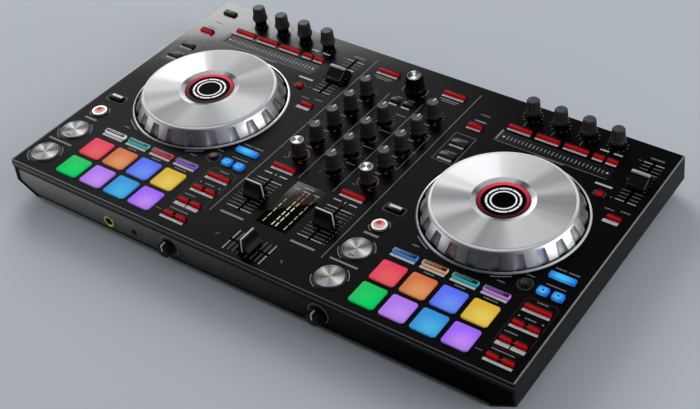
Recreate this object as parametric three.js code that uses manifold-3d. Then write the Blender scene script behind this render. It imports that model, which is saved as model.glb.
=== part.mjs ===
// DJ controller: two decks with a jog wheel, eight pads and a tempo fader each, round a two-channel mixer.
// Units are millimetres. X runs to the right, Y to the back, and Z up from the surface that the feet stand
// on. The origin is the middle of the footprint.

import * as THREE from "three";
import { mergeVertices } from "three/addons/utils/BufferGeometryUtils.js";
import Module from "manifold-3d";

// Case
const bodyHeight = 39.5;
const sideHeight = 26; // upright part of each end, above the chamfer
const sideFlare = 1.5; // how far each end leans out towards its foot
const chamferInset = 23.5;
const wall = 2.5;
const panelThickness = 2.5;
const frontLipHeight = 8;
const frontFrame = 2.2;
const fasciaRecess = 1.6;
const fasciaThickness = 2.5;
const footHeight = 2.5;
const footRadius = 11;
const footInsetX = 30;
const footInsetY = 22;
const footSides = 16;

// Clearances between pieces
const gap = 0.3; // between a piece and its seat
const keyClearance = 0.5; // round a key, pad or button in its opening
const runningClearance = 0.4; // round the jog hub
const overrun = 1; // how far a cutting solid runs past the face that it cuts
const mergeTolerance = 1e-4;

// Boards and pots inside the case
const boardThickness = 1.6;
const boardTop = 27; // height of the board's upper side
const boardMargin = 3; // from the board's edge to the case wall
const potWidth = 9.5;
const potHeight = 8;
const standoffRadius = 3.5;
const standoffSides = 8;
const standoffColumnShares = [-0.45, -0.15, 0.15, 0.45]; // of the board's width
const standoffRowShares = [-0.42, 0.42]; // of the board's depth

// Rows of a deck, from the front edge of the panel to the back edge
const padFrontMargin = 20.9; // from the edge to the middle of the front pads
const padRowGap = 5.4; // between the rows of pads
const padsToModeKeys = 25.9;
const modeKeysToJog = 13.6; // to the edge of the jog's well
const jogToStrip = 19.6;
const stripToFxKeys = 15.3;
const fxKeysToKnobs = 24.3;
const fxKnobMargin = 16; // from the effect knobs to the edge

// Columns of a deck, from the mixer outwards
const mixerWidth = 123.8;
const mixerToSideKeys = 20.6;
const sideKeysToJog = 10.1; // to the edge of the jog's well
const jogToLoopKeys = 9;
const loopKeyMargin = 22; // from the loop keys to the end of the panel
const columnPitchShare = 0.4; // of the radius of the jog's well
const columnCount = 4;
const padGap = 5.48; // between the pads of a row

// Jog wheel, its heights above the panel
const jogPlateRadius = 66;
const jogPlateTop = 16;
const jogPlateThickness = 2.5;
const jogRimRadius = 74.6;
const jogRimShoulder = 1.6; // height of the foot of the sloping grip
const jogRimWall = 3.4;
const jogSkirtDepth = 1.2; // how far the rim reaches below the panel's face
const jogWellClearance = 0.6;
const jogBezelWidth = 1.5;
const jogBezelHeight = 0.8;
const jogScallopDepth = 1.3;
const jogScallops = 22;
const jogWellSides = 40;
const jogRimSides = 3 * jogScallops;
const jogPlateSides = 36;

// Jog display post and the hub that runs on it
const displayRadius = 24;
const displayDrop = 1.5; // from the plate's face down to the display
const displayHeadHeight = 6;
const displayConeWidth = 4.9;
const spindleRadius = 14;
const spindleFlangeRadius = 34;
const spindleFlangeHeight = 3;
const hubWall = 3;
const spindleSides = 28;

// Keys, which stand on runners under the panel
const keyRise = 2.6;
const keyDepth = 4.6;
const runnerThickness = 2.4;
const runnerWidth = 6;
const keyPairGap = 3.6; // between the two half keys of one column

// Pads
const padCorner = 2.6;
const padRise = 1.8;
const padRows = 2;
const padSheetMargin = 2;
const padSheetThickness = 1.6;

// The deck's other keys, from the rows and columns next to them
const loopRows = 4;
const padsToLoopKeys = 4.7; // the front loop keys stand this far in front of the front pads
const modeKeysToBluePair = 20.4;
const bluePairToBlueKey = 21;
const blueKeyDepth = 6.2;
const bluePairDepth = 8.2;
const tempoKeyWidth = 13;
const tempoKeyShift = 3.4; // outwards from the loop keys
const faderToTempoLink = 16; // from the end of the tempo fader's travel to the runner's turn
const tempoLinkToKey = 9;
const tempoLinkToButton = 14.1;
const tempoButtonShift = 22.7; // inwards from the loop keys
const roundKeyRadius = 3.5;
const blackButtonShift = 24.2; // inwards from the loop keys
const blackButtonRise = 0.6; // behind the middle of the blue pair
const sideKeyWidth = 15;
const sideKeyDepth = 6.4;
const sideKeyToStrip = 1.4; // from the upper side key to the middle of the touch strip
const sideKeyStep = 30.6; // from the upper side key to the next one
const sideKeyPitch = 21;
const syncToShiftKey = 24.5;
const modeKeysToSync = 19.5;
const topKeyToFxKnobs = 2.3; // the key that only the left deck has
const syncRadius = 7.6;

// Play and cue buttons
const transportRadius = 13.2;
const transportRise = 1.7;
const cueToModeKeys = 14.8;
const padsToPlay = 1.9; // from the middle of the front pads
const transportFlange = 1.6;
const transportFlangeThickness = 2;
const roundSides = 20;
const smallRoundSides = 8;
const collarSides = 12;

// Touch strip over each jog
const stripX = -0.8; // from the deck's centre
const stripOverhang = 2.58; // past the outer columns at each end
const stripDepth = 16;
const stripThickness = 0.9;
const stripDrop = 0.8; // from the panel's face down to the strip

// Tempo faders
const tempoFaderShift = 2.3; // outwards from the loop keys
const stripToTempoFader = 1.1; // between their middles, from front to back
const tempoTravel = 60;
const tempoCapWidth = 18;
const tempoCapLength = 25;
const tempoCapHeight = 12;
const tempoCapGrip = 5; // length of the raised bar across the cap
const slotWidth = 2.6;
const stemThickness = 1.6;
const stemLength = 5;
const capClearance = 1.2; // between a fader cap and the panel
const faderBodyWidth = 9;
const faderBodyMargin = 5; // from the end of the slot to the end of the fader's body

// Mixer
const channelX = 39.3;
const crossfaderMargin = 18; // from the front edge
const crossfaderToFaders = 57;
const fadersToMeter = 3.2; // between their middles
const fadersToCueKeys = 43.2;
const cueKeysToFilters = 22;
const browseToTrims = 27.6;
const browseToSmallKeys = 24;
const loadKeysToBrowse = 12.4;
const loadKeyMargin = 24.6; // from the back edge
const channelKnobs = 5;
const centreKnobs = 4;
const faderTravel = 44;
const crossfaderTravel = 38;
const capWidth = 19;
const capLength = 14;
const capHeight = 15.5;
const capRidge = 2.4; // width of the ridge on top of the cap
const capFoot = 3; // height of the cap's upright foot
const capWaistShare = 0.36; // of the cap's height, where its hollow side is
const capWaistWidthShare = 0.5; // of the cap's length
const loadKeyDepth = 5.4;
const mixerKeyWidth = 24.4;
const smallKeyX = 7.4;
const smallKeyWidth = 9.4;
const smallKeyDepth = 5.2;
const mixerRunnerX = 19.6;
const meterWidth = 34;
const meterDepth = 62.6;
const meterThickness = 1.2;
const meterDrop = 0.2;

// Knobs, their heights above the panel
const stemRadius = 3;
const knobSides = 12;
const mixerKnob = { neck: 7.6, skirt: 7.6, skirtHeight: 3.2, waist: 6.6, top: 5.6, crown: 4.9, height: 18.6 };
const fxKnob = { neck: 6.2, skirt: 8, skirtHeight: 8.4, waist: 7.4, top: 6.2, crown: 5.6, height: 20 };
const browseKnob = { neck: 10.4, skirt: 10.4, skirtHeight: 4, waist: 9.2, top: 8.4, crown: 5.6, height: 19 };
const frontKnob = { neck: 8, skirt: 8, skirtHeight: 4.2, waist: 7.4, top: 6.9, crown: 6.2, height: 9.4 };
const knobClearance = 0.8; // between a knob's skirt and the panel
const crownHeight = 0.9; // height of the rounding at a knob's top edge

// Front sockets and knobs: X from the middle, Z down from the panel's face
const frontKnobX = 83;
const frontKnobDrop = 24.3;
const phoneJackX = -157;
const miniJackX = -126.5;
const jackDrop = 28;
const jackBore = 3.3;
const jackNutRadius = 6;
const jackNutHeight = 0.8;
const miniBore = 1.8;
const jackBlockWidth = 48;
const jackBlockHeight = 15;
const jackBlockDepth = 30;
const jackFloor = 3; // left behind each bore
const frontPotDepth = 8;

// Rear sockets: X from the middle
const rearAxisHeight = 6.2; // of each socket over the board
const rearBodyDepth = 17;
const rearBodyWidth = 12.2;
const rearNose = 1.5; // how far a socket's collar stands out of the back wall
const trsXs = [-106, 86, 104];
const trsCollar = 5.4;
const rcaXs = [-74, -58, -30, -14, 30, 46];
const rcaCollar = 4.2;
const rcaBore = 1.7;
const usbWidth = 12;
const usbHeight = 10.8;
const usbWall = 1.6;
const usbTongueWidth = 5.6;
const usbTongueHeight = 3.2;
const inletBore = 3.1;
const inletPin = 1;
const inletCollar = 4.6;
const groundX = -92;
const groundRadius = 2.2;
const groundNose = 5;

// Heights that follow from the sizes above
const panelTop = footHeight + bodyHeight;
const panelUnder = panelTop - panelThickness;
const caseTop = panelUnder - gap;
const runnerTop = panelUnder - gap;
const runnerBottom = runnerTop - runnerThickness;
const boardBottom = boardTop - boardThickness;
const boardMiddle = boardTop - boardThickness / 2; // where the pieces soldered to the board start
const potTop = boardTop + potHeight;
const stemBottom = potTop + gap;
const bottomTop = footHeight + wall;
const frontReach = frontKnob.height - fasciaRecess; // of the front knobs, past the case

// Places that follow from the rows and columns: X from the deck's centre, Y from the panel's centre
const jogWellRadius = jogRimRadius + jogWellClearance;
const columnPitch = columnPitchShare * jogWellRadius;
const padSize = columnPitch - padGap;
const halfKeyWidth = (padSize - keyPairGap) / 2;
const padRowPitch = padSize + padRowGap;
const padRowsDepth = padRowPitch * (padRows - 1);
const frontRowsDepth = padFrontMargin + padRowsDepth + padsToModeKeys + modeKeysToJog;
const backRowsDepth = jogToStrip + stripToFxKeys + fxKeysToKnobs + fxKnobMargin;
const bodyDepth = frontRowsDepth + 2 * jogWellRadius + backRowsDepth;
const halfDepth = bodyDepth / 2;
const padFrontRowY = padFrontMargin - halfDepth;
const padBackRowY = padFrontRowY + padRowsDepth;
const modeKeyY = padBackRowY + padsToModeKeys;
const jogY = modeKeyY + modeKeysToJog + jogWellRadius;
const stripY = jogY + jogWellRadius + jogToStrip;
const fxKeyY = stripY + stripToFxKeys;
const fxKnobY = fxKeyY + fxKeysToKnobs;
const sideX = -jogWellRadius - sideKeysToJog;
const loopX = jogWellRadius + jogToLoopKeys;
const deckX = mixerWidth / 2 + mixerToSideKeys - sideX;
const halfWidth = deckX + loopX + loopKeyMargin;
const bodyWidth = 2 * halfWidth;
const stripWidth = columnPitch * (columnCount - 1) + padSize + 2 * stripOverhang;
const tempoX = loopX + tempoFaderShift;
const tempoY = stripY + stripToTempoFader;
const tempoLinkY = tempoY - tempoTravel / 2 - faderToTempoLink; // the runner turns here, clear of the fader
const loopFrontRowY = padFrontRowY - padsToLoopKeys;
const loopRowPitch = (modeKeyY - loopFrontRowY) / (loopRows - 1);
const bluePairY = modeKeyY + modeKeysToBluePair;
const blueKeyY = bluePairY + bluePairToBlueKey;
const syncY = modeKeyY + modeKeysToSync;
const upperSideKeyY = stripY - sideKeyToStrip;
const middleSideKeyY = upperSideKeyY - sideKeyStep;
const sideKeyYs = [upperSideKeyY, middleSideKeyY, middleSideKeyY - sideKeyPitch, syncY + syncToShiftKey];
const sideTopKeyY = fxKnobY - topKeyToFxKnobs;
const cueY = modeKeyY - cueToModeKeys;
const playY = padFrontRowY + padsToPlay;
const crossfaderY = crossfaderMargin - halfDepth;
const faderY = crossfaderY + crossfaderToFaders;
const meterY = faderY + fadersToMeter;
const cueKeyY = faderY + fadersToCueKeys;
const loadKeyY = halfDepth - loadKeyMargin;
const browseY = loadKeyY - loadKeysToBrowse;
const smallKeyY = browseY - browseToSmallKeys;
const trimY = browseY - browseToTrims;
const filterY = cueKeyY + cueKeysToFilters;
const knobPitch = (trimY - filterY) / (channelKnobs - 1);
const usbX = deckX; // the data socket and the power inlet stand between effect knobs of the right deck
const inletX = deckX + columnPitch;

const wasm = await Module();
wasm.setup();

// Shapes

function toSolid(geometry) {
  const bare = geometry.clone();
  bare.deleteAttribute("normal");
  bare.deleteAttribute("uv");
  const merged = mergeVertices(bare, mergeTolerance);
  return new wasm.Manifold(
    new wasm.Mesh({
      numProp: 3,
      vertProperties: merged.attributes.position.array,
      triVerts: new Uint32Array(merged.index.array),
    }),
  );
}

function toGeometry(solid) {
  const mesh = solid.getMesh();
  const geometry = new THREE.BufferGeometry();
  geometry.setAttribute("position", new THREE.BufferAttribute(mesh.vertProperties, mesh.numProp));
  geometry.setIndex(new THREE.BufferAttribute(mesh.triVerts, 1));
  const faceted = geometry.toNonIndexed();
  faceted.computeVertexNormals();
  return faceted;
}

function join(solids) {
  return solids.reduce((whole, piece) => whole.add(piece));
}

function cut(solid, tools) {
  return tools.reduce((rest, tool) => rest.subtract(tool), solid);
}

// A block round the point (x, y), from height z0 to z1.
function block(x, y, width, depth, z0, z1) {
  const shape = new THREE.BoxGeometry(width, depth, z1 - z0);
  shape.translate(x, y, (z0 + z1) / 2);
  return toSolid(shape);
}

// An upright round post at the point (x, y).
function post(x, y, radius, z0, z1, sides = roundSides) {
  const shape = new THREE.CylinderGeometry(radius, radius, z1 - z0, sides);
  shape.rotateX(Math.PI / 2);
  shape.translate(x, y, (z0 + z1) / 2);
  return toSolid(shape);
}

// A round bar along Y, from y0 to y1, on the axis (x, z).
function bar(x, z, radius, y0, y1, sides = roundSides) {
  const shape = new THREE.CylinderGeometry(radius, radius, y1 - y0, sides);
  shape.translate(x, (y0 + y1) / 2, z);
  return toSolid(shape);
}

// A solid turned about Z, from a profile of [radius, height] points that runs upwards on the outside.
function turned(profile, sides) {
  const shape = new THREE.LatheGeometry(profile.map(([r, z]) => new THREE.Vector2(r, z)), sides);
  shape.rotateX(Math.PI / 2);
  return shape;
}

// An outline of [x, y] points, extruded from height z0 to z1.
function plate(points, z0, z1) {
  const outline = new THREE.Shape(points.map(([x, y]) => new THREE.Vector2(x, y)));
  const shape = new THREE.ExtrudeGeometry(outline, { depth: z1 - z0, bevelEnabled: false, steps: 1 });
  shape.translate(0, 0, z0);
  return toSolid(shape);
}

// An outline of [x, z] points, extruded along Y from y0 to y1.
function profileAlongY(points, y0, y1) {
  const outline = new THREE.Shape(points.map(([x, z]) => new THREE.Vector2(x, z)));
  const shape = new THREE.ExtrudeGeometry(outline, { depth: y1 - y0, bevelEnabled: false, steps: 1 });
  shape.rotateX(Math.PI / 2);
  shape.translate(0, y1, 0);
  return toSolid(shape);
}

// A square with its corners cut off.
function squareOutline(x, y, side, corner) {
  const far = side / 2;
  const near = far - corner;
  const corners = [
    [near, -far], [far, -near], [far, near], [near, far],
    [-near, far], [-far, near], [-far, -near], [-near, -far],
  ];
  return corners.map(([dx, dy]) => [x + dx, y + dy]);
}

// The group and its pieces

const controller = new THREE.Group();
controller.name = "dj_controller";
controller.position.y = (frontReach - groundNose) / 2;

function addPiece(name, solid, finish) {
  const mesh = new THREE.Mesh(toGeometry(solid), new THREE.MeshStandardMaterial(finish));
  mesh.name = name;
  controller.add(mesh);
  return mesh;
}

const finishes = {
  panel: { color: 0x141416, roughness: 0.45, metalness: 0.1 },
  shell: { color: 0x232427, roughness: 0.6, metalness: 0 },
  base: { color: 0x1b1c1e, roughness: 0.7, metalness: 0 },
  fascia: { color: 0x2b2c2f, roughness: 0.55, metalness: 0 },
  board: { color: 0x1f5a34, roughness: 0.6, metalness: 0 },
  aluminium: { color: 0xc9cbce, roughness: 0.28, metalness: 1 },
  silverPaint: { color: 0xb9bbbe, roughness: 0.35, metalness: 0.7 },
  blackGloss: { color: 0x08080a, roughness: 0.12, metalness: 0 },
  smokedWindow: { color: 0x1a1c1e, roughness: 0.1, metalness: 0 },
  gold: { color: 0xc8b23a, roughness: 0.3, metalness: 1 },
  silicone: { color: 0xb48fe0, roughness: 0.6, metalness: 0 },
  redKey: { color: 0xc4161c, roughness: 0.45, metalness: 0 },
  greyKey: { color: 0x5a5c60, roughness: 0.5, metalness: 0 },
  knobBlack: { color: 0x17181a, roughness: 0.55, metalness: 0 },
  knobGrey: { color: 0x44464a, roughness: 0.5, metalness: 0 },
};

// Where the keys are

const columnXs = Array.from({ length: columnCount }, (_, i) => (i - (columnCount - 1) / 2) * columnPitch);
const halfKeyOffset = (padSize - halfKeyWidth) / 2;

// The two narrow keys that share one column's width.
function keyPair(x, y, depth) {
  return [-halfKeyOffset, halfKeyOffset].map((dx) => ({ x: x + dx, y, width: halfKeyWidth, depth }));
}

function roundKey(x, y, radius, sides) {
  return { x, y, radius, sides };
}

const modeKeys = columnXs.map((x) => ({ x, y: modeKeyY, width: padSize, depth: keyDepth }));

const fxKeys = [
  ...columnXs.slice(0, -1).map((x) => ({ x, y: fxKeyY, width: padSize, depth: keyDepth })),
  ...keyPair(columnXs.at(-1), fxKeyY, keyDepth),
];

const loopRowYs = Array.from({ length: loopRows }, (_, i) => loopFrontRowY + i * loopRowPitch);

const [tempoButtonX, tempoButtonY] = [loopX - tempoButtonShift, tempoLinkY + tempoLinkToButton];
const [blackButtonX, blackButtonY] = [loopX - blackButtonShift, bluePairY + blackButtonRise];

const outerKeys = [
  ...loopRowYs.slice(0, -1).flatMap((y) => keyPair(loopX, y, keyDepth)),
  { x: loopX, y: loopRowYs.at(-1), width: padSize, depth: keyDepth },
  ...keyPair(loopX, bluePairY, bluePairDepth),
  { x: loopX, y: blueKeyY, width: padSize, depth: blueKeyDepth },
  { x: loopX + tempoKeyShift, y: tempoLinkY - tempoLinkToKey, width: tempoKeyWidth, depth: keyDepth },
  roundKey(tempoButtonX, tempoButtonY, roundKeyRadius, smallRoundSides),
  roundKey(blackButtonX, blackButtonY, roundKeyRadius, smallRoundSides),
];

function sideKeys(isLeft) {
  const ys = isLeft ? [sideTopKeyY, ...sideKeyYs] : sideKeyYs;
  const rows = ys.map((y) => ({ x: sideX, y, width: sideKeyWidth, depth: sideKeyDepth }));
  return [...rows, roundKey(sideX, syncY, syncRadius, roundSides)];
}

const mixerKeys = [
  { x: -channelX, y: loadKeyY, width: mixerKeyWidth, depth: loadKeyDepth },
  { x: channelX, y: loadKeyY, width: mixerKeyWidth, depth: loadKeyDepth },
  { x: -smallKeyX, y: smallKeyY, width: smallKeyWidth, depth: smallKeyDepth },
  { x: smallKeyX, y: smallKeyY, width: smallKeyWidth, depth: smallKeyDepth },
  { x: -channelX, y: cueKeyY, width: mixerKeyWidth, depth: keyDepth },
  { x: channelX, y: cueKeyY, width: mixerKeyWidth, depth: keyDepth },
];

// One key, from the underside of its runner to its cap, or the opening that it works in.
function keySolid(key, originX) {
  const [z0, z1] = [runnerBottom, panelTop + keyRise];
  if (key.radius) return post(originX + key.x, key.y, key.radius, z0, z1, key.sides);
  return block(originX + key.x, key.y, key.width, key.depth, z0, z1);
}

function keyOpening(key, originX) {
  const [z0, z1] = [panelUnder - overrun, panelTop + overrun];
  if (key.radius) return post(originX + key.x, key.y, key.radius + keyClearance, z0, z1, key.sides);
  const [width, depth] = [key.width + 2 * keyClearance, key.depth + 2 * keyClearance];
  return block(originX + key.x, key.y, width, depth, z0, z1);
}

// A flat bar of the runner under the panel.
function runner(x0, x1, y0, y1) {
  return block((x0 + x1) / 2, (y0 + y1) / 2, Math.abs(x1 - x0), Math.abs(y1 - y0), runnerBottom, runnerTop);
}

function runnerAlongX(x0, x1, y) {
  return runner(x0, x1, y - runnerWidth / 2, y + runnerWidth / 2);
}

function runnerAlongY(x, y0, y1) {
  return runner(x - runnerWidth / 2, x + runnerWidth / 2, y0, y1);
}

// Knobs and faders: where they are

const knobRowYs = Array.from({ length: channelKnobs }, (_, i) => trimY - i * knobPitch);
const knobNames = ["trim", "high", "mid", "low", "filter"];
const centreNames = ["master_level", "booth_level", "cue_mix", "sampler_level"];
const centreRowYs = knobRowYs.slice(channelKnobs - centreKnobs);

const decks = [
  { side: "left", x: -deckX },
  { side: "right", x: deckX },
];

const knobPlaces = [
  ...decks.flatMap(({ side, x }) =>
    columnXs.map((dx, i) => ({ name: `${side}_fx_knob_${i + 1}`, x: x + dx, y: fxKnobY, size: fxKnob })),
  ),
  ...decks.flatMap(({ side, x }) =>
    knobRowYs.map((y, i) => ({
      name: `${side}_${knobNames[i]}_knob`,
      x: Math.sign(x) * channelX,
      y,
      size: mixerKnob,
    })),
  ),
  ...centreRowYs.map((y, i) => ({ name: `${centreNames[i]}_knob`, x: 0, y, size: mixerKnob })),
  { name: "browse_knob", x: 0, y: browseY, size: browseKnob },
];

const faderPlaces = [
  ...decks.map(({ side, x }) => ({
    name: `${side}_tempo_fader`,
    x: x + tempoX,
    y: tempoY,
    travel: tempoTravel,
    alongX: false,
  })),
  ...decks.map(({ side, x }) => ({
    name: `${side}_channel_fader`,
    x: Math.sign(x) * channelX,
    y: faderY,
    travel: faderTravel,
    alongX: false,
  })),
  { name: "crossfader", x: 0, y: crossfaderY, travel: crossfaderTravel, alongX: true },
];

// A block that lies along a fader's slot.
function alongSlot(fader, length, width, z0, z1) {
  const [dx, dy] = fader.alongX ? [length, width] : [width, length];
  return block(fader.x, fader.y, dx, dy, z0, z1);
}

// Case: an extruded outline with upright ends and chamfers below

function bodyOutline(inset, zTop, zBottom) {
  const kneeZ = panelTop - sideHeight;
  const topX = halfWidth - inset;
  const kneeX = halfWidth + sideFlare - inset;
  const footX = halfWidth + sideFlare - chamferInset - inset;
  const lean = (kneeX - footX) / (kneeZ - footHeight);
  const bottomX = kneeX - lean * (kneeZ - zBottom);
  return [
    [-bottomX, zBottom], [bottomX, zBottom], [kneeX, kneeZ], [topX, zTop],
    [-topX, zTop], [-kneeX, kneeZ],
  ];
}

function caseShell() {
  const outer = profileAlongY(bodyOutline(0, caseTop, footHeight), -halfDepth, halfDepth);
  const hollow = profileAlongY(
    bodyOutline(wall, caseTop + overrun, footHeight - overrun),
    -halfDepth + wall,
    halfDepth - wall,
  );
  const fasciaOpening = profileAlongY(
    bodyOutline(frontFrame, caseTop - frontLipHeight, footHeight + frontFrame),
    -halfDepth - overrun,
    -halfDepth + wall + overrun,
  );
  return cut(outer, [hollow, fasciaOpening, ...rearOpenings()]);
}

// The fascia closes the front frame, set back behind its lip, with a rim that bears on the case from inside.
function frontPanel() {
  const face = profileAlongY(
    bodyOutline(frontFrame + gap, caseTop - frontLipHeight - gap, footHeight + frontFrame + gap),
    -halfDepth + fasciaRecess,
    -halfDepth + fasciaRecess + fasciaThickness,
  );
  const frontOfHoles = -halfDepth - overrun;
  const backOfHoles = -halfDepth + fasciaRecess + fasciaThickness + overrun;
  const jackZ = panelTop - jackDrop;
  const holes = [
    bar(phoneJackX, jackZ, jackNutRadius + gap, frontOfHoles, backOfHoles, roundSides),
    bar(miniJackX, jackZ, miniBore, frontOfHoles, backOfHoles, smallRoundSides),
    ...[-frontKnobX, frontKnobX].map((x) =>
      bar(x, panelTop - frontKnobDrop, stemRadius + keyClearance, frontOfHoles, backOfHoles, smallRoundSides),
    ),
  ];
  return cut(face, holes);
}

function bottomPlate() {
  const bottomX = halfWidth + sideFlare - chamferInset - wall - gap;
  const depth = bodyDepth - 2 * (wall + gap);
  const floor = block(0, 0, 2 * bottomX, depth, footHeight, bottomTop);
  const feet = [-1, 1].flatMap((sx) =>
    [-1, 1].map((sy) =>
      post(sx * (bottomX - footInsetX), sy * (halfDepth - footInsetY), footRadius, 0, bottomTop, footSides),
    ),
  );
  const standoffTop = boardBottom - gap;
  const standoffs = standoffColumnShares.flatMap((across) =>
    standoffRowShares.map((along) =>
      post(across * boardWidth, along * boardDepth, standoffRadius, footHeight, standoffTop, standoffSides),
    ),
  );
  return join([floor, ...feet, ...standoffs]);
}

// Top panel, with an opening for everything that works through it

function topPanel() {
  const sheet = block(0, 0, bodyWidth, bodyDepth, panelUnder, panelTop);
  const bezels = decks.map(({ x }) =>
    post(x, jogY, jogWellRadius + jogBezelWidth, panelUnder, panelTop + jogBezelHeight, jogWellSides),
  );
  const [low, high] = [panelUnder - overrun, panelTop + overrun];
  const openings = decks.flatMap(({ side, x }) => [
    post(x, jogY, jogWellRadius, low, high, jogWellSides),
    ...padPlaces(x).map(([px, py]) =>
      plate(squareOutline(px, py, padSize + 2 * keyClearance, padCorner), low, high),
    ),
    ...[...modeKeys, ...fxKeys, ...outerKeys, ...sideKeys(side === "left")].map((key) => keyOpening(key, x)),
    ...[cueY, playY].map((y) => post(x + sideX, y, transportRadius + keyClearance, low, high, roundSides)),
    block(
      x + stripX, stripY, stripWidth + 2 * gap, stripDepth + 2 * gap,
      panelTop - stripDrop - stripThickness - gap, high,
    ),
  ]);
  const mixerOpenings = [
    ...mixerKeys.map((key) => keyOpening(key, 0)),
    ...knobPlaces.map(({ x, y }) => post(x, y, stemRadius + keyClearance, low, high, smallRoundSides)),
    ...faderPlaces.map((fader) =>
      alongSlot(fader, fader.travel + stemLength + 2 * keyClearance, slotWidth, low, high),
    ),
    block(
      0, meterY, meterWidth + 2 * gap, meterDepth + 2 * gap,
      panelTop - meterDrop - meterThickness - gap, high,
    ),
  ];
  return cut(join([sheet, ...bezels]), [...openings, ...mixerOpenings]);
}

// Circuit board, with the pots, the faders' bodies and the rear sockets soldered to it

const boardWidth = bodyWidth - 2 * (wall + boardMargin);
const boardDepth = bodyDepth - 2 * (wall + boardMargin);
const rearFace = halfDepth + rearNose;
const rearZ = boardTop + rearAxisHeight;

function rearSocket(x, collar, bore, sides) {
  const backEnd = halfDepth - wall - gap;
  const body = block(
    x, backEnd - rearBodyDepth / 2, rearBodyWidth, rearBodyDepth,
    boardMiddle, rearZ + rearBodyWidth / 2 - gap,
  );
  const nose = bar(x, rearZ, collar, backEnd - overrun, rearFace, collarSides);
  const hole = bar(x, rearZ, bore, backEnd - rearBodyDepth + jackFloor, rearFace + overrun, sides);
  return body.add(nose).subtract(hole);
}

function usbSocket() {
  const z1 = boardTop + usbHeight;
  const backEnd = halfDepth - gap;
  const shell = block(usbX, backEnd - rearBodyDepth / 2, usbWidth, rearBodyDepth, boardMiddle, z1);
  const inside = block(
    usbX, backEnd - rearBodyDepth / 2 + jackFloor, usbWidth - 2 * usbWall, rearBodyDepth,
    boardTop + usbWall, z1 - usbWall,
  );
  const middleZ = boardTop + usbHeight / 2;
  const tongue = block(
    usbX, backEnd - rearBodyDepth / 2, usbTongueWidth, rearBodyDepth - 2 * jackFloor,
    middleZ - usbTongueHeight / 2, middleZ + usbTongueHeight / 2,
  );
  const root = block(
    usbX, backEnd - rearBodyDepth + jackFloor, usbTongueWidth, jackFloor,
    middleZ - usbTongueHeight / 2, middleZ + usbTongueHeight / 2,
  );
  return shell.subtract(inside).add(tongue).add(root);
}

function powerInlet() {
  const pinEnd = halfDepth - wall;
  const pin = bar(inletX, rearZ, inletPin, halfDepth - rearBodyDepth, pinEnd, smallRoundSides);
  return rearSocket(inletX, inletCollar, inletBore, smallRoundSides).add(pin);
}

function groundPost() {
  const middleY = halfDepth - rearBodyDepth / 2;
  const foot = block(groundX, middleY, 2 * groundRadius, rearBodyDepth / 2, boardMiddle, rearZ);
  return foot.add(bar(groundX, rearZ, groundRadius, middleY, halfDepth + groundNose, smallRoundSides));
}

function rearOpenings() {
  const [y0, y1] = [halfDepth - wall - overrun, halfDepth + overrun];
  return [
    ...trsXs.map((x) => bar(x, rearZ, trsCollar + gap, y0, y1, collarSides)),
    ...rcaXs.map((x) => bar(x, rearZ, rcaCollar + gap, y0, y1, collarSides)),
    bar(inletX, rearZ, inletCollar + gap, y0, y1, collarSides),
    bar(groundX, rearZ, groundRadius + gap, y0, y1, smallRoundSides),
    block(
      usbX, halfDepth, usbWidth + 2 * gap, 2 * (wall + overrun),
      boardMiddle - gap, boardTop + usbHeight + gap,
    ),
  ];
}

function mainBoard() {
  const sheet = block(0, 0, boardWidth, boardDepth, boardBottom, boardTop);
  const pots = knobPlaces.map(({ x, y }) => block(x, y, potWidth, potWidth, boardMiddle, potTop));
  const faderBodies = faderPlaces.map((fader) =>
    alongSlot(fader, fader.travel + stemLength + 2 * faderBodyMargin, faderBodyWidth, boardMiddle, potTop),
  );
  const frontPotBack = -halfDepth + fasciaRecess + fasciaThickness + gap + frontPotDepth;
  const frontPots = [-frontKnobX, frontKnobX].map((x) =>
    block(
      x, frontPotBack - frontPotDepth / 2, potWidth, frontPotDepth,
      panelTop - frontKnobDrop - potWidth / 2, boardMiddle,
    ),
  );
  const sockets = [
    ...trsXs.map((x) => rearSocket(x, trsCollar, jackBore, smallRoundSides)),
    ...rcaXs.map((x) => rearSocket(x, rcaCollar, rcaBore, smallRoundSides)),
    usbSocket(),
    powerInlet(),
    groundPost(),
  ];
  return join([sheet, ...pots, ...faderBodies, ...frontPots, ...sockets]);
}

// Headphone sockets in one moulded block on the base, behind the fascia

function headphoneJacks() {
  const face = -halfDepth + fasciaRecess + fasciaThickness + gap;
  const jackZ = panelTop - jackDrop;
  const middleX = (phoneJackX + miniJackX) / 2;
  const body = block(
    middleX, face + jackBlockDepth / 2, jackBlockWidth, jackBlockDepth,
    bottomTop + gap, bottomTop + gap + jackBlockHeight,
  );
  const nutFace = -halfDepth + fasciaRecess - jackNutHeight;
  const nut = bar(phoneJackX, jackZ, jackNutRadius, nutFace, face + overrun, roundSides);
  const back = face + jackBlockDepth - jackFloor;
  const bores = [
    bar(phoneJackX, jackZ, jackBore, -halfDepth - overrun, back, smallRoundSides),
    bar(miniJackX, jackZ, miniBore, -halfDepth - overrun, back, smallRoundSides),
  ];
  return cut(body.add(nut), bores);
}

// Jog wheel: rim and plate turn together on the display post

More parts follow.
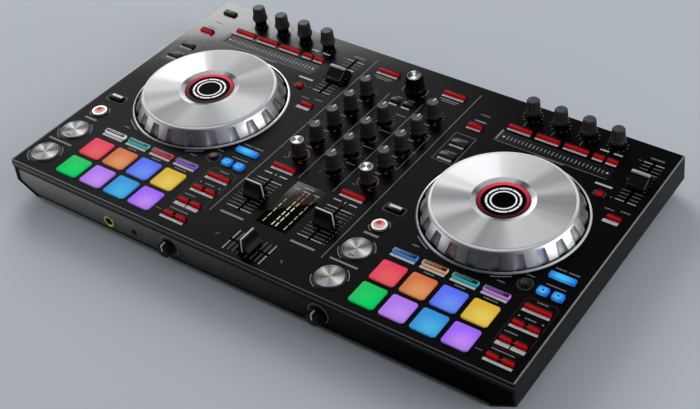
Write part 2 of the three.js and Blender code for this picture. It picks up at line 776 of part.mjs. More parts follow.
function jogRim(x) {
  const plateUnder = jogPlateTop - jogPlateThickness - gap;
  const innerTop = jogPlateRadius - jogRimWall;
  const innerFoot = jogRimRadius - jogRimWall;
  const profile = [
    [innerFoot, -jogSkirtDepth],
    [jogRimRadius, -jogSkirtDepth],
    [jogRimRadius, jogRimShoulder],
    [jogPlateRadius, plateUnder],
    [innerTop, plateUnder],
    [innerFoot, jogRimShoulder],
    [innerFoot, -jogSkirtDepth],
  ];
  const shape = turned(profile, jogRimSides);
  const places = shape.attributes.position;
  for (let i = 0; i < places.count; i += 1) {
    const radius = Math.hypot(places.getX(i), places.getY(i));
    const height = places.getZ(i);
    const onGrip = height > 0 && height < plateUnder / 2 && radius > innerFoot + mergeTolerance;
    if (onGrip) {
      const turn = Math.atan2(places.getY(i), places.getX(i)) * jogScallops;
      const share = 1 - (jogScallopDepth * (1 - Math.cos(turn))) / 2 / radius;
      places.setX(i, places.getX(i) * share);
      places.setY(i, places.getY(i) * share);
    }
  }
  shape.translate(x, jogY, panelTop);
  return toSolid(shape);
}

function jogPlate(x) {
  const top = jogPlateTop;
  const under = top - jogPlateThickness;
  const bore = displayRadius + runningClearance;
  const hubRadius = bore + hubWall;
  const hubFoot = boardTop + 2 * gap + spindleFlangeHeight - panelTop;
  const profile = [
    [bore, hubFoot],
    [hubRadius, hubFoot],
    [hubRadius, under],
    [jogPlateRadius, under],
    [jogPlateRadius, top - jogPlateThickness / 2],
    [jogPlateRadius - jogPlateThickness / 2, top],
    [displayRadius + displayConeWidth, top],
    [bore, top - displayDrop],
    [bore, hubFoot],
  ];
  const shape = turned(profile, jogPlateSides);
  shape.translate(x, jogY, panelTop);
  return toSolid(shape);
}

function jogDisplay(x) {
  const foot = boardTop + gap - panelTop;
  const top = jogPlateTop - displayDrop;
  const profile = [
    [0, foot],
    [spindleFlangeRadius, foot],
    [spindleFlangeRadius, foot + spindleFlangeHeight],
    [spindleRadius, foot + spindleFlangeHeight],
    [spindleRadius, top - displayHeadHeight],
    [displayRadius, top - displayHeadHeight],
    [displayRadius, top],
    [0, top],
  ];
  const shape = turned(profile, spindleSides);
  shape.translate(x, jogY, panelTop);
  return toSolid(shape);
}

// Pads: eight in one silicone sheet under the panel

function padPlaces(x) {
  return [padFrontRowY, padBackRowY].flatMap((y) => columnXs.map((dx) => [x + dx, y]));
}

function padSheet(x) {
  const width = columnPitch * (columnCount - 1) + padSize + 2 * padSheetMargin;
  const depth = padRowPitch * (padRows - 1) + padSize + 2 * padSheetMargin;
  const middleY = (padFrontRowY + padBackRowY) / 2;
  const sheet = block(x, middleY, width, depth, runnerTop - padSheetThickness, runnerTop);
  const pads = padPlaces(x).map(([px, py]) =>
    plate(squareOutline(px, py, padSize, padCorner), runnerTop - padSheetThickness, panelTop + padRise),
  );
  return join([sheet, ...pads]);
}

// Key mouldings: the caps of each group stand on one runner

function rowStrip(keys, x) {
  const first = keys[0];
  const last = keys.at(-1);
  const strip = runnerAlongX(x + first.x - first.width / 2, x + last.x + last.width / 2, first.y);
  return join([strip, ...keys.map((key) => keySolid(key, x))]);
}

function sideStrip(keys, x) {
  const ys = keys.map((key) => key.y);
  const strip = runnerAlongY(x + sideX, Math.min(...ys), Math.max(...ys));
  return join([strip, ...keys.map((key) => keySolid(key, x))]);
}

function outerStrip(x) {
  const spineX = x + loopX;
  const reach = halfKeyOffset + halfKeyWidth / 2;
  const strips = [
    runnerAlongY(spineX, loopFrontRowY, tempoLinkY),
    runnerAlongX(x + tempoButtonX, spineX, tempoLinkY),
    runnerAlongY(x + tempoButtonX, tempoLinkY - runnerWidth / 2, tempoButtonY),
    runnerAlongX(x + blackButtonX, spineX, blackButtonY),
    runnerAlongX(spineX - reach, spineX + reach, bluePairY),
    ...loopRowYs.slice(0, -1).map((y) => runnerAlongX(spineX - reach, spineX + reach, y)),
  ];
  return join([...strips, ...outerKeys.map((key) => keySolid(key, x))]);
}

function mixerStrip() {
  const strips = [
    runnerAlongX(-channelX, channelX, loadKeyY),
    runnerAlongX(-mixerRunnerX, mixerRunnerX, smallKeyY),
    runnerAlongX(-channelX, channelX, cueKeyY),
    runnerAlongY(-mixerRunnerX, cueKeyY, loadKeyY),
    runnerAlongY(mixerRunnerX, cueKeyY, loadKeyY),
  ];
  return join([...strips, ...mixerKeys.map((key) => keySolid(key, 0))]);
}

function transportButton(x, y) {
  const foot = runnerTop - transportFlangeThickness;
  const cap = post(x, y, transportRadius, foot, panelTop + transportRise, roundSides);
  const flange = post(x, y, transportRadius + transportFlange, foot, runnerTop, roundSides);
  return cap.add(flange);
}

// Knobs: a stem through the panel, a neck, a skirt and a tapered grip

function knob(size, stemFoot) {
  const profile = [
    [0, stemFoot],
    [stemRadius, stemFoot],
    [stemRadius, knobClearance],
    [size.neck, knobClearance],
    [size.skirt, size.skirtHeight - crownHeight],
    [size.waist, size.skirtHeight],
    [size.top, size.height - crownHeight],
    [size.crown, size.height],
    [0, size.height],
  ];
  return turned(profile, knobSides);
}

function panelKnob({ x, y, size }) {
  const shape = knob(size, stemBottom - panelTop);
  shape.translate(x, y, panelTop);
  return toSolid(shape);
}

function fasciaKnob(x) {
  const shape = knob(frontKnob, -fasciaThickness);
  shape.rotateX(Math.PI / 2);
  shape.translate(x, -halfDepth + fasciaRecess, panelTop - frontKnobDrop);
  return toSolid(shape);
}

// Fader caps, each with its stem through the slot

function ridgedCap(fader) {
  const [length, width] = [capLength, capWidth];
  const z0 = panelTop + capClearance;
  const z1 = panelTop + capHeight;
  const waist = (capWaistWidthShare * length) / 2;
  const waistZ = z0 + capFoot + capWaistShare * (z1 - z0 - capFoot);
  const outline = [
    [-length / 2, z0], [length / 2, z0], [length / 2, z0 + capFoot], [waist / 2 + capRidge / 2, waistZ],
    [capRidge / 2, z1], [-capRidge / 2, z1], [-waist / 2 - capRidge / 2, waistZ],
    [-length / 2, z0 + capFoot],
  ];
  return capSolid(fader, outline, width, z0);
}

function tempoCap(fader) {
  const z0 = panelTop + capClearance;
  const z1 = panelTop + tempoCapHeight;
  const shoulderZ = z1 - capClearance;
  const outline = [
    [-tempoCapLength / 2, z0], [tempoCapLength / 2, z0], [tempoCapLength / 2, z0 + capFoot],
    [tempoCapGrip / 2 + capClearance, shoulderZ], [tempoCapGrip / 2, z1], [-tempoCapGrip / 2, z1],
    [-tempoCapGrip / 2 - capClearance, shoulderZ], [-tempoCapLength / 2, z0 + capFoot],
  ];
  return capSolid(fader, outline, tempoCapWidth, z0);
}

// Extrudes a cap's outline, which lies along the slot, across the slot, and adds the stem.
function capSolid(fader, outline, width, z0) {
  const side = new THREE.Shape(outline.map(([along, z]) => new THREE.Vector2(along, z)));
  const shape = new THREE.ExtrudeGeometry(side, { depth: width, bevelEnabled: false, steps: 1 });
  shape.translate(0, 0, -width / 2);
  shape.rotateX(Math.PI / 2);
  if (!fader.alongX) shape.rotateZ(Math.PI / 2);
  shape.translate(fader.x, fader.y, 0);
  const stem = alongSlot(fader, stemLength, stemThickness, stemBottom, z0 + capFoot);
  return toSolid(shape).add(stem);
}

// Assembly

addPiece("top_panel", topPanel(), finishes.panel);
addPiece("case_shell", caseShell(), finishes.shell);
addPiece("bottom_plate", bottomPlate(), finishes.base);
addPiece("front_panel", frontPanel(), finishes.fascia);
addPiece("main_board", mainBoard(), finishes.board);
addPiece("headphone_jacks", headphoneJacks(), finishes.gold);
addPiece(
  "meter_window",
  block(0, meterY, meterWidth, meterDepth, panelTop - meterDrop - meterThickness, panelTop - meterDrop),
  finishes.smokedWindow,
);

for (const { side, x } of decks) {
  const stripTop = panelTop - stripDrop;
  const strip = block(x + stripX, stripY, stripWidth, stripDepth, stripTop - stripThickness, stripTop);
  addPiece(`${side}_touch_strip`, strip, finishes.blackGloss);
  addPiece(`${side}_jog_rim`, jogRim(x), finishes.silverPaint);
  addPiece(`${side}_jog_plate`, jogPlate(x), finishes.aluminium);
  addPiece(`${side}_jog_display`, jogDisplay(x), finishes.blackGloss);
  addPiece(`${side}_pads`, padSheet(x), finishes.silicone);
  addPiece(`${side}_mode_keys`, rowStrip(modeKeys, x), finishes.greyKey);
  addPiece(`${side}_fx_keys`, rowStrip(fxKeys, x), finishes.redKey);
  addPiece(`${side}_loop_keys`, outerStrip(x), finishes.redKey);
  addPiece(`${side}_side_keys`, sideStrip(sideKeys(side === "left"), x), finishes.greyKey);
  addPiece(`${side}_cue_button`, transportButton(x + sideX, cueY), finishes.aluminium);
  addPiece(`${side}_play_button`, transportButton(x + sideX, playY), finishes.aluminium);
}

addPiece("mixer_keys", mixerStrip(), finishes.redKey);

for (const place of knobPlaces) {
  const finish = place.size === fxKnob ? finishes.knobGrey : finishes.knobBlack;
  addPiece(place.name, panelKnob(place), finish);
}

addPiece("phones_level_knob", fasciaKnob(-frontKnobX), finishes.knobBlack);
addPiece("mic_level_knob", fasciaKnob(frontKnobX), finishes.knobBlack);

for (const fader of faderPlaces) {
  const cap = fader.name.endsWith("tempo_fader") ? tempoCap(fader) : ridgedCap(fader);
  addPiece(fader.name, cap, finishes.knobBlack);
}

export default controller;
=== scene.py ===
import bmesh
import bpy
import math
from mathutils import Matrix, Vector


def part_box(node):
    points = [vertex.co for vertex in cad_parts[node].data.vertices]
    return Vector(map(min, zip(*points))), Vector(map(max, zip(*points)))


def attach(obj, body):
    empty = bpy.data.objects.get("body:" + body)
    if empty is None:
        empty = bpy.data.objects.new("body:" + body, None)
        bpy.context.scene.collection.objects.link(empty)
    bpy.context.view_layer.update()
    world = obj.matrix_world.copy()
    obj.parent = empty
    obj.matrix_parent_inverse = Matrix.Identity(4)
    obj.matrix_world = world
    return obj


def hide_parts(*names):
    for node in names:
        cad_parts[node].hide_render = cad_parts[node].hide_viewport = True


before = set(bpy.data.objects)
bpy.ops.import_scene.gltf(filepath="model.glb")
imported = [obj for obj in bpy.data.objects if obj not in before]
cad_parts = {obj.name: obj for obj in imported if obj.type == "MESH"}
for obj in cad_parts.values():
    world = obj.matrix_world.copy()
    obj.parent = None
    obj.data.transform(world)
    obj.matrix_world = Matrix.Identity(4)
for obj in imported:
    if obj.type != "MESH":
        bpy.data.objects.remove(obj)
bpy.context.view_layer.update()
scene = bpy.context.scene
scene.view_settings.view_transform = "Standard"


# The camera stands to the right of the front edge and looks down on the controller, as the photographer's did.
# The floor is a plain pale sheet. One wide lamp over the back left corner lights it, with a softer one at each side.

PICTURE_WIDTH, PICTURE_HEIGHT = 700, 409
FOCAL_LENGTH = 1256.452  # in pixels of the picture, as is the place where the lens's axis meets it
AXIS_X, AXIS_Y = 452.98, 173.478
CAMERA_DISTANCE = 1.151123
turn, tilt, roll = math.radians(33.5274), math.radians(40), math.radians(-2.44853)
level_right = Vector((math.cos(turn), math.sin(turn), 0))
camera_back = Vector((math.sin(turn) * math.cos(tilt), -math.cos(turn) * math.cos(tilt), math.sin(tilt)))
level_up = camera_back.cross(level_right)
lens = bpy.data.cameras.new("studio_camera")
lens.sensor_width = 36
lens.lens = lens.sensor_width * FOCAL_LENGTH / PICTURE_WIDTH
lens.shift_x = (PICTURE_WIDTH / 2 - AXIS_X) / PICTURE_WIDTH
lens.shift_y = (AXIS_Y - PICTURE_HEIGHT / 2) / PICTURE_WIDTH
camera = bpy.data.objects.new("studio_camera", lens)
scene.collection.objects.link(camera)
camera_right = level_right * math.cos(roll) + level_up * math.sin(roll)
camera_up = level_up * math.cos(roll) - level_right * math.sin(roll)
camera_axes = Matrix((camera_right, camera_up, camera_back)).transposed().to_4x4()
camera_target = Vector((0.100676, 0.032096, 0.042))
camera.matrix_world = Matrix.Translation(camera_target + camera_back * CAMERA_DISTANCE) @ camera_axes
scene.camera = camera

lamps = (("key_lamp", (-2.2, 2.07, 1.65), (-0.1, 0.05, 0), 1.7, 52),
         ("fill_lamp", (-1.9, -1.1, 0.7), (-0.2, 0, 0.02), 1.3, 9),
         ("side_lamp", (1.5, 0.4, 0.62), (0.1, 0, 0.02), 0.9, 7.5))
for name, spot, aim, size, power in lamps:
    soft_box = bpy.data.lights.new(name, "AREA")
    soft_box.size, soft_box.energy = size, power
    holder = bpy.data.objects.new(name, soft_box)
    scene.collection.objects.link(holder)
    holder.location = spot
    holder.rotation_euler = (Vector(aim) - Vector(spot)).to_track_quat("-Z", "Y").to_euler()


def wire(node, links):
    """Feeds a node's sockets; links are (socket, what feeds it or a plain value)."""
    for socket, source in links:
        source = getattr(source, "socket", source)
        if isinstance(source, bpy.types.NodeSocket):
            node.id_data.links.new(source, node.inputs[socket])
        else:
            node.inputs[socket].default_value = source
    return node


def put(tree, kind, links=(), **settings):
    """A new node with its settings and links."""
    node = tree.nodes.new("ShaderNode" + kind)
    for name, value in settings.items():
        setattr(node, name, value)
    return wire(node, links)


class Field:
    """An output of a node, with which sums over a surface are written as plain sums."""

    def __init__(self, node, output=0):
        self.socket = node.outputs[output]

    def math(self, operation, *values):
        return Field(put(self.socket.id_data, "Math", list(enumerate(values or [self])), operation=operation))

    def __add__(self, other):
        return self.math("ADD", self, other)

    def __sub__(self, other):
        return self.math("SUBTRACT", self, other)

    def __rsub__(self, other):
        return self.math("SUBTRACT", other, self)

    def __mul__(self, other):
        return self.math("MULTIPLY", self, other)

    def __truediv__(self, other):
        return self.math("DIVIDE", self, other)

    def __pow__(self, other):
        return self.math("POWER", self, other)


def ramp(tree, value, stops, interpolation="LINEAR"):
    """A colour that follows a value; stops are (value, colour), from low to high."""
    node = put(tree, "ValToRGB", [("Fac", value)])
    band = node.color_ramp
    band.interpolation = interpolation
    band.elements[0].position, band.elements[1].position = stops[0][0], stops[-1][0]
    band.elements[0].color, band.elements[1].color = stops[0][1], stops[-1][1]
    for place, colour in stops[1:-1]:
        band.elements.new(place).color = colour
    return Field(node, "Color")


# The studio walls are pale, but behind the camera it is dark, so the front slopes of bright metal stay dark.
sky = bpy.data.worlds.new("studio")
sky.use_nodes = True
towards = put(sky.node_tree, "TexCoord").outputs["Generated"]
DARK_SIDE = Vector((0.2, -0.9, 0.4)).normalized()
facing = Field(put(sky.node_tree, "VectorMath", [(0, towards), (1, DARK_SIDE)], operation="DOT_PRODUCT"), "Value")
walls = ramp(sky.node_tree, facing, [(0.45, (0.80, 0.84, 0.90, 1)), (0.95, (0.10, 0.10, 0.11, 1))])
wire(sky.node_tree.nodes["Background"], [("Color", walls), ("Strength", 0.42)])
scene.world = sky


def new_material(name, *links):
    """A new material with plain values on its shader; returns it with its node tree and its shader."""
    material = bpy.data.materials.new(name)
    material.use_nodes = True
    shader = wire(material.node_tree.nodes["Principled BSDF"], links)
    return material, material.node_tree, shader


bpy.ops.object.select_all(action="DESELECT")
bpy.ops.mesh.primitive_plane_add(size=24)
floor = bpy.context.object
floor.name = floor.data.name = "floor"
floor.data.materials.append(new_material("floor_paper", ("Base Color", (0.66, 0.70, 0.74, 1)), ("Roughness", 0.9))[0])


# One sheet of black anodised aluminium with every opening punched in it. Its face is satin with a very fine
# grain, and its cut edges catch the light. A pressed ridge stands round each jog's well.

MM = 0.001
PANEL_Z = 42.0
case_low, case_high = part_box("case_shell")
MIDDLE_Y = (case_low[1] + case_high[1]) / 2 / MM


def at(x, y, z=0.0):
    """A place over the panel, in millimetres from the middle of its face, as a point in metres."""
    return Vector((x, y + MIDDLE_Y, z + PANEL_Z)) * MM


def srgb(red, green, blue):
    """A colour as it looks on a screen, from 0 to 255, for a shader."""
    shares = [c / 255 for c in (red, green, blue)]
    return tuple(s / 12.92 if s <= 0.04045 else ((s + 0.055) / 1.055) ** 2.4 for s in shares) + (1.0,)


def effect(name, inputs, outputs):
    """An empty node group with named sockets: the group, a field for each input, and its end node."""
    group = bpy.data.node_groups.new(name, "ShaderNodeTree")
    for way, table in (("INPUT", inputs), ("OUTPUT", outputs)):
        for socket, kind in table.items():
            group.interface.new_socket(socket, in_out=way, socket_type="NodeSocket" + kind)
    start, end = group.nodes.new("NodeGroupInput"), group.nodes.new("NodeGroupOutput")
    return group, [Field(start, socket) for socket in inputs], end


def parts_of(vector, axes):
    """The parts of a vector along some of its axes."""
    apart = put(vector.socket.id_data, "SeparateXYZ", [("Vector", vector)])
    return [Field(apart, axis) for axis in axes]


def here(tree):
    """The place on the object."""
    return Field(put(tree, "TexCoord"), "Object")


# Moulded or rolled grain: a fine bump, and a slow drift of colour and gloss over the surface.
grain, (colour, gloss, size, drift), end = effect(
    "surface_grain", {"Colour": "Color", "Roughness": "Float", "Grain size": "Float", "Drift": "Float"},
    {"Colour": "Color", "Roughness": "Float", "Height": "Float"})
place = here(grain)
fine = Field(put(grain, "TexNoise", [("Vector", place), ("Scale", size), ("Detail", 3.0)]), "Fac")
slow = Field(put(grain, "TexNoise", [("Vector", place), ("Scale", 9.0), ("Detail", 2.0)]), "Fac")
change = (slow - 0.5) * drift
tint = put(grain, "HueSaturation", [("Color", colour), ("Value", change + (fine - 0.5) * 0.12 + 1.0)])
wire(end, [("Colour", Field(tint)), ("Roughness", gloss + change * 0.35), ("Height", fine)])


def moulded(name, colour, roughness, grain_size=1800.0, drift=0.2, bump=0.05, metallic=0.0, specular=0.25):
    """A material with the surface grain in its colour, gloss and bump."""
    material, tree, shader = new_material(name, ("Metallic", metallic), ("Specular IOR Level", specular))
    surface = put(tree, "Group", node_tree=grain, name="grain")
    wire(surface, [("Colour", srgb(*colour)), ("Roughness", roughness), ("Grain size", grain_size), ("Drift", drift)])
    relief = put(tree, "Bump", [("Height", Field(surface, "Height")), ("Strength", bump), ("Distance", 0.0002)])
    wire(shader, [("Base Color", Field(surface, "Colour")), ("Roughness", Field(surface, "Roughness")),
                  ("Normal", Field(relief, "Normal"))])
    return material


def keep_node(name, material, rounding):
    """A CAD node that is shown: it gets its material, and its sharp edges are rounded by modifiers."""
    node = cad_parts[name]
    node.modifiers.new("weld", "WELD").merge_threshold = 1e-6
    bevel = node.modifiers.new("rounding", "BEVEL")
    bevel.width, bevel.segments = rounding * MM, 2
    bevel.limit_method, bevel.angle_limit = "ANGLE", math.radians(30)
    bevel.harden_normals = True
    node.data.materials.clear()
    node.data.materials.append(material)


anodised = moulded("black_anodised_panel", (7, 7, 7), 0.32, grain_size=2600, drift=0.1, specular=0.021)
keep_node("top_panel", anodised, 0.2)
# The sheet's lacquer is glossier towards the back left corner, where the wide lamp stands on it.
tree = anodised.node_tree
x, y = parts_of(here(tree), "XY")
reach = put(tree, "MapRange", [("Value", x * -0.5 + y * 0.86), ("From Min", 0.13), ("From Max", 0.263)])
shares = ((0, 0), (0.17, 0.04), (0.33, 0.11), (0.49, 0.25), (0.62, 0.7), (0.8, 0.94), (1, 1))
gloss = ramp(tree, Field(reach), [(place, (share, share, share, 1)) for place, share in shares])
wire(tree.nodes["Principled BSDF"], [("Coat Weight", gloss), ("Coat Roughness", 0.2)])


# The cut ends of the aluminium sheet show as a thin silver-grey line along the left and right sides, where the
# side cheeks meet the panel. Each is a narrow strip, broken at its edges, and set into the side of the case.


def only(piece):
    """Makes a piece the one thing that operators act on."""
    bpy.ops.object.select_all(action="DESELECT")
    piece.select_set(True)
    bpy.context.view_layer.objects.active = piece


def pick(kind, test):
    """In edit mode, selects the faces, edges or verts that pass a test, and nothing else."""
    bpy.ops.mesh.select_all(action="DESELECT")
    bpy.ops.mesh.select_mode(type={"faces": "FACE", "edges": "EDGE", "verts": "VERT"}[kind])
    mesh = bmesh.from_edit_mesh(bpy.context.object.data)
    for item in getattr(mesh, kind):
        item.select_set(bool(test(item)))
    bmesh.update_edit_mesh(bpy.context.object.data)


def edit():
    """Enters edit mode with everything selected."""
    bpy.ops.object.mode_set(mode="EDIT")
    bpy.ops.mesh.select_mode(type="VERT")
    bpy.ops.mesh.select_all(action="SELECT")


def leave(smooth=30):
    """Ends edit mode: closes seams, turns faces outwards, and shades smooth up to an angle."""
    bpy.ops.mesh.select_all(action="SELECT")
    bpy.ops.mesh.remove_doubles(threshold=1e-6)
    bpy.ops.mesh.normals_make_consistent(inside=False)
    bpy.ops.object.mode_set(mode="OBJECT")
    bpy.ops.object.transform_apply(location=True, rotation=True, scale=True)
    bpy.ops.object.shade_smooth_by_angle(angle=math.radians(smooth))
    return bpy.context.object


def start(kind, **settings):
    """Adds a primitive and enters edit mode."""
    bpy.ops.object.select_all(action="DESELECT")
    getattr(bpy.ops.mesh, f"primitive_{kind}_add")(**settings)
    edit()


def resize(x, y, z, middle=None):
    """Scales what is selected, from a place or from its own middle."""
    bpy.ops.transform.resize(value=(x, y, z), **({"center_override": middle} if middle is not None else {}))


def pull(x, y, z):
    """Extrudes what is selected, by a step in millimetres."""
    bpy.ops.mesh.extrude_region_move(TRANSFORM_OT_translate={"value": (x * MM, y * MM, z * MM)})


def bevel(width, segments):
    """Bevels the selected edges, by a width in millimetres."""
    bpy.ops.mesh.bevel(offset=width * MM, segments=segments, affect="EDGES")


def upright(edge):
    return abs(edge.verts[0].co.z - edge.verts[1].co.z) > 1e-6


def slab(width, depth, low, high, corner=0.0, edge=0.2, x=0.0, y=0.0):
    """A block with rounded upright corners and a rounded top edge, in millimetres over the panel."""
    start("cube", size=1, location=at(x, y, (low + high) / 2))
    resize(width * MM, depth * MM, (high - low) * MM)
    if corner:
        pick("edges", upright)
        bevel(corner, 4)
    pick("edges", lambda e: all(abs(v.co.z - (high - low) * MM / 2) < 1e-7 for v in e.verts))
    bevel(edge, 2)
    return leave(40)


def fit(piece, name, material, body="root", stands_for=()):
    """Names a finished piece, gives it its material and says which body it moves with."""
    piece.name = piece.data.name = name
    if material:
        piece.data.materials.clear()
        piece.data.materials.append(material)
    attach(piece, body)
    if stands_for:
        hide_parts(*stands_for)


cut_aluminium = moulded("cut_aluminium_edge", (138, 138, 135), 0.4, drift=0.15, metallic=0.3)
for side, x in (("left", -273.2), ("right", 273.2)):
    fit(slab(1.6, 315.6, -0.6, 0.06, edge=0.15, x=x), f"{side}_edge_strip", cut_aluminium)


# The shell is one injection-moulded tray in satin dark-grey plastic, with upright cheeks and a chamfer under
# them. The base is a plain black plate that screws up into it and carries the standoffs of the board.

case_grey = moulded("satin_grey_case", (29, 29, 29), 0.5, grain_size=2200, drift=0.25, specular=0.12)
keep_node("case_shell", case_grey, 0.5)
base_black = moulded("black_base_plastic", (30, 30, 31), 0.65, grain_size=900, drift=0.2, bump=0.2)
keep_node("bottom_plate", base_black, 0.3)


# Along the front the case turns down in two steps: a sloping band under the panel's edge, a thin raised line,
# and an upright band that ends over the shadow gap of the fascia. It is part of the same moulding.

# Painted light: the front's colour is painted paler towards the left end, where the lamps light it, and nearly black
# at the right, and paler near its top than at its foot.
front_painted_light, (left, right, foot), end = effect(
    "front_painted_light", {"Left": "Color", "Right": "Color", "Foot": "Float"}, {"Colour": "Color"})
x, z = parts_of(here(front_painted_light), "XZ")
across = Field(put(front_painted_light, "MapRange", [("Value", x), ("From Min", -0.27), ("From Max", 0.24)]))
rise = Field(put(front_painted_light, "MapRange", [("Value", z), ("From Min", 0.006), ("From Max", 0.034)]))
mix = put(front_painted_light, "Mix", data_type="RGBA")
wire(mix, [(0, 1.0 - (1.0 - across) ** 2.3), (6, left), (7, right)])
tint = put(front_painted_light, "HueSaturation", [("Color", Field(mix, 2)), ("Value", foot + (1.0 - foot) * rise)])
wire(end, [("Colour", Field(tint))])


def with_painted_light(name, left, right, foot, roughness, specular=0.2):
    """A moulded material with painted light: it changes from one end of the front to the other, and darkens towards
    its foot.
    """
    material = moulded(name, left, roughness, grain_size=2400, drift=0.2, specular=specular)
    fade = put(material.node_tree, "Group", node_tree=front_painted_light)
    wire(fade, [("Left", srgb(*left)), ("Right", srgb(*right)), ("Foot", foot)])
    wire(material.node_tree.nodes["grain"], [("Colour", Field(fade))])
    return material


def along_x(outline, x0, x1):
    """Draws an outline of (y, z) points edge by edge, and sweeps it along X, in millimetres over the panel."""
    start("plane", size=MM, location=at(x0, *outline[0]))
    bpy.ops.mesh.merge(type="CENTER")
    for (y_before, z_before), (y, z) in zip(outline, outline[1:]):
        pull(0, y - y_before, z - z_before)
    bpy.ops.mesh.select_all(action="SELECT")
    bpy.ops.mesh.edge_face_add()
    pull(x1 - x0, 0, 0)
    return leave(20)


# The lip's colour carries painted light: pale grey at the left end, nearly black at the right.
lip = along_x([(-157.6, 0.0), (-158.3, -0.05), (-159.1, -3.2), (-159.1, -4.6), (-159.3, -4.7),
               (-159.3, -7.6), (-159.0, -7.8), (-157.6, -7.8)], -273.9, 273.9)
fit(lip, "front_lip", with_painted_light("front_lip_painted_light", (80, 80, 79), (22, 22, 22), 1.0, 0.42, 0.08))
# Painted highlights: the thin lines and the foot lip are painted paler than the lip, brightest at the left end.
line_painted_highlight = with_painted_light("front_line_painted_highlight", (140, 140, 138), (84, 84, 84), 1.0, 0.4)
for name, half, outline in (
        ("lip_top_line", 273.8, [(-157.9, -0.1), (-157.9, 0.06), (-158.45, 0.06), (-158.6, -0.5), (-158.2, -0.5)]),
        ("lip_middle_line", 273.8, [(-159.0, -3.5), (-159.55, -3.7), (-159.6, -4.3), (-159.0, -4.5)]),
        ("foot_lip", 250.6, [(-157.6, -37.2), (-158.6, -37.4), (-158.9, -38.0), (-158.6, -39.2), (-157.6, -39.4)])):
    fit(along_x(outline, -half, half), f"front_{name}", line_painted_highlight)
# Painted shade: a thin black strip stands in the shadow gap under the lip.
painted_shadow_black = moulded("painted_shadow_black", (6, 6, 6), 0.8, specular=0.02)
fit(slab(546, 1.3, -8.9, -7.8, edge=0.1, y=-158.1), "front_painted_shadow_gap", painted_shadow_black)


# A flat plate in satin dark grey that stands back behind the lip. It carries the two headphone sockets and the
# two level knobs, and its lower edge sits in the foot of the case.

# Painted light and shade: the plate's colour runs from pale at its left end to nearly black at its right, and darkens
# towards its foot.
keep_node("front_panel", with_painted_light("fascia_painted_light", (186, 186, 184), (2, 2, 2), 0.35, 0.45, 0.02), 0.3)


# The board is dark, with its pots and fader bodies. At the back stand three threaded jack sockets with nuts,
# six phono sockets with coloured rings, a square data socket, a power inlet and an earth post.

keep_node("main_board", moulded("dark_circuit_board", (16, 24, 19), 0.5, grain_size=500, drift=0.5), 0.15)
templates = set()


def turned(profile, sides, closed=False):
    """A round piece round Z at the origin, drawn up ring by ring; the profile is (radius, height) in millimetres."""
    radius, height = profile[0]
    start("circle", vertices=sides, radius=radius * MM, location=(0, 0, height * MM))
    for (radius, height), (next_radius, next_height) in zip(profile, profile[1:]):
        pull(0, 0, next_height - height)
        share = next_radius / radius
        resize(share, share, 1, (0, 0, next_height * MM))
    bpy.ops.mesh.select_all(action="SELECT")
    if not closed:
        bpy.ops.mesh.fill_holes(sides=0)
    return leave(30)


def copy_to(template, spot, turn=None):
    """A copy of a finished template, with its own mesh, turned and put in its place."""
    templates.add(template)
    piece = template.copy()
    piece.data = template.data.copy()
    scene.collection.objects.link(piece)
    piece.data.transform(Matrix.Translation(spot) @ (turn or Matrix.Identity(4)))
    return piece


facing_back = Matrix.Rotation(math.radians(-90), 4, "X")
facing_front = Matrix.Rotation(math.radians(90), 4, "X")
BACK_Y, SOCKET_Z = 158, 33.2 - PANEL_Z


def on_back(template, x, name, material):
    """Puts a copy of a template on the back wall, at the height of the sockets."""
    fit(copy_to(template, at(x, BACK_Y, SOCKET_Z), facing_back), name, material)


nickel = moulded("nickel_plate", (190, 188, 180), 0.25, drift=0.1, metallic=1.0)
socket_black = moulded("socket_black", (18, 18, 19), 0.45)
jack_nut = turned([(3.35, 0), (5.3, 0), (5.3, 1.2), (5.0, 1.5), (4.3, 1.5), (4.1, 1.2), (3.35, 1.2), (3.35, 0)], 24,
                  closed=True)
for name, x in (("mic_in", -106), ("booth_left", 86), ("booth_right", 104)):
    on_back(jack_nut, x, f"{name}_nut", nickel)
phono_ring = turned([(2.5, 0), (4.1, 0), (4.1, 1.3), (3.9, 1.5), (2.7, 1.5), (2.5, 1.3), (2.5, 0)], 24, closed=True)
phono_sleeve = turned([(1.75, 0), (2.35, 0), (2.35, 2.6), (2.2, 2.8), (1.9, 2.8), (1.75, 2.6), (1.75, 0)], 20,
                      closed=True)
phono_tints = {"left": moulded("phono_white", (220, 220, 216), 0.4),
               "right": moulded("phono_red", (180, 24, 28), 0.4)}
phono_names = [f"{line}_{channel}" for line in ("line_1", "line_2", "master") for channel in ("left", "right")]
for number, (name, x) in enumerate(zip(phono_names, (-74, -58, -30, -14, 30, 46)), 1):
    on_back(phono_ring, x, f"{name}_ring", phono_tints[name.split("_")[-1]])
    on_back(phono_sleeve, x, f"phono_sleeve_{number}", nickel)
earth_knob = turned([(2.3, 0.4), (3.2, 0.6), (3.2, 4.2), (2.9, 4.6), (2.3, 4.6), (2.3, 0.4)], 20, closed=True)
on_back(earth_knob, -92, "earth_nut", nickel)


# A fixed ring of turned metal is pressed over the panel's black ridge round each jog's well. Between it and the
# turning rim there is a black groove.

DECKS = (("left", -167.8), ("right", 167.8))
JOG_Y = 7.6


def flat_map(piece, span, depth=None):
    """Maps a piece's own face: u runs from 0 to 1 over span millimetres and v over depth, the middle at 0.5."""
    layer = piece.data.uv_layers.get("face_map") or piece.data.uv_layers.new(name="face_map")
    piece.data.uv_layers.active = layer
    for loop in piece.data.loops:
        spot = piece.data.vertices[loop.vertex_index].co
        layer.data[loop.index].uv = (spot.x / MM / span + 0.5, spot.y / MM / (depth or span) + 0.5)
    return piece


def on_decks(template, dx, y, name, material, body="root", stands_for=(), turn=None):
    """Puts a copy of a template on each deck; @ in a name stands for the side."""
    for side, x in DECKS:
        name_here, body_here = name.replace("@", side), body.replace("@", side)
        nodes = [node.replace("@", side) for node in stands_for]
        fit(copy_to(template, at(x + dx, y), turn), name_here, material, body_here, nodes)


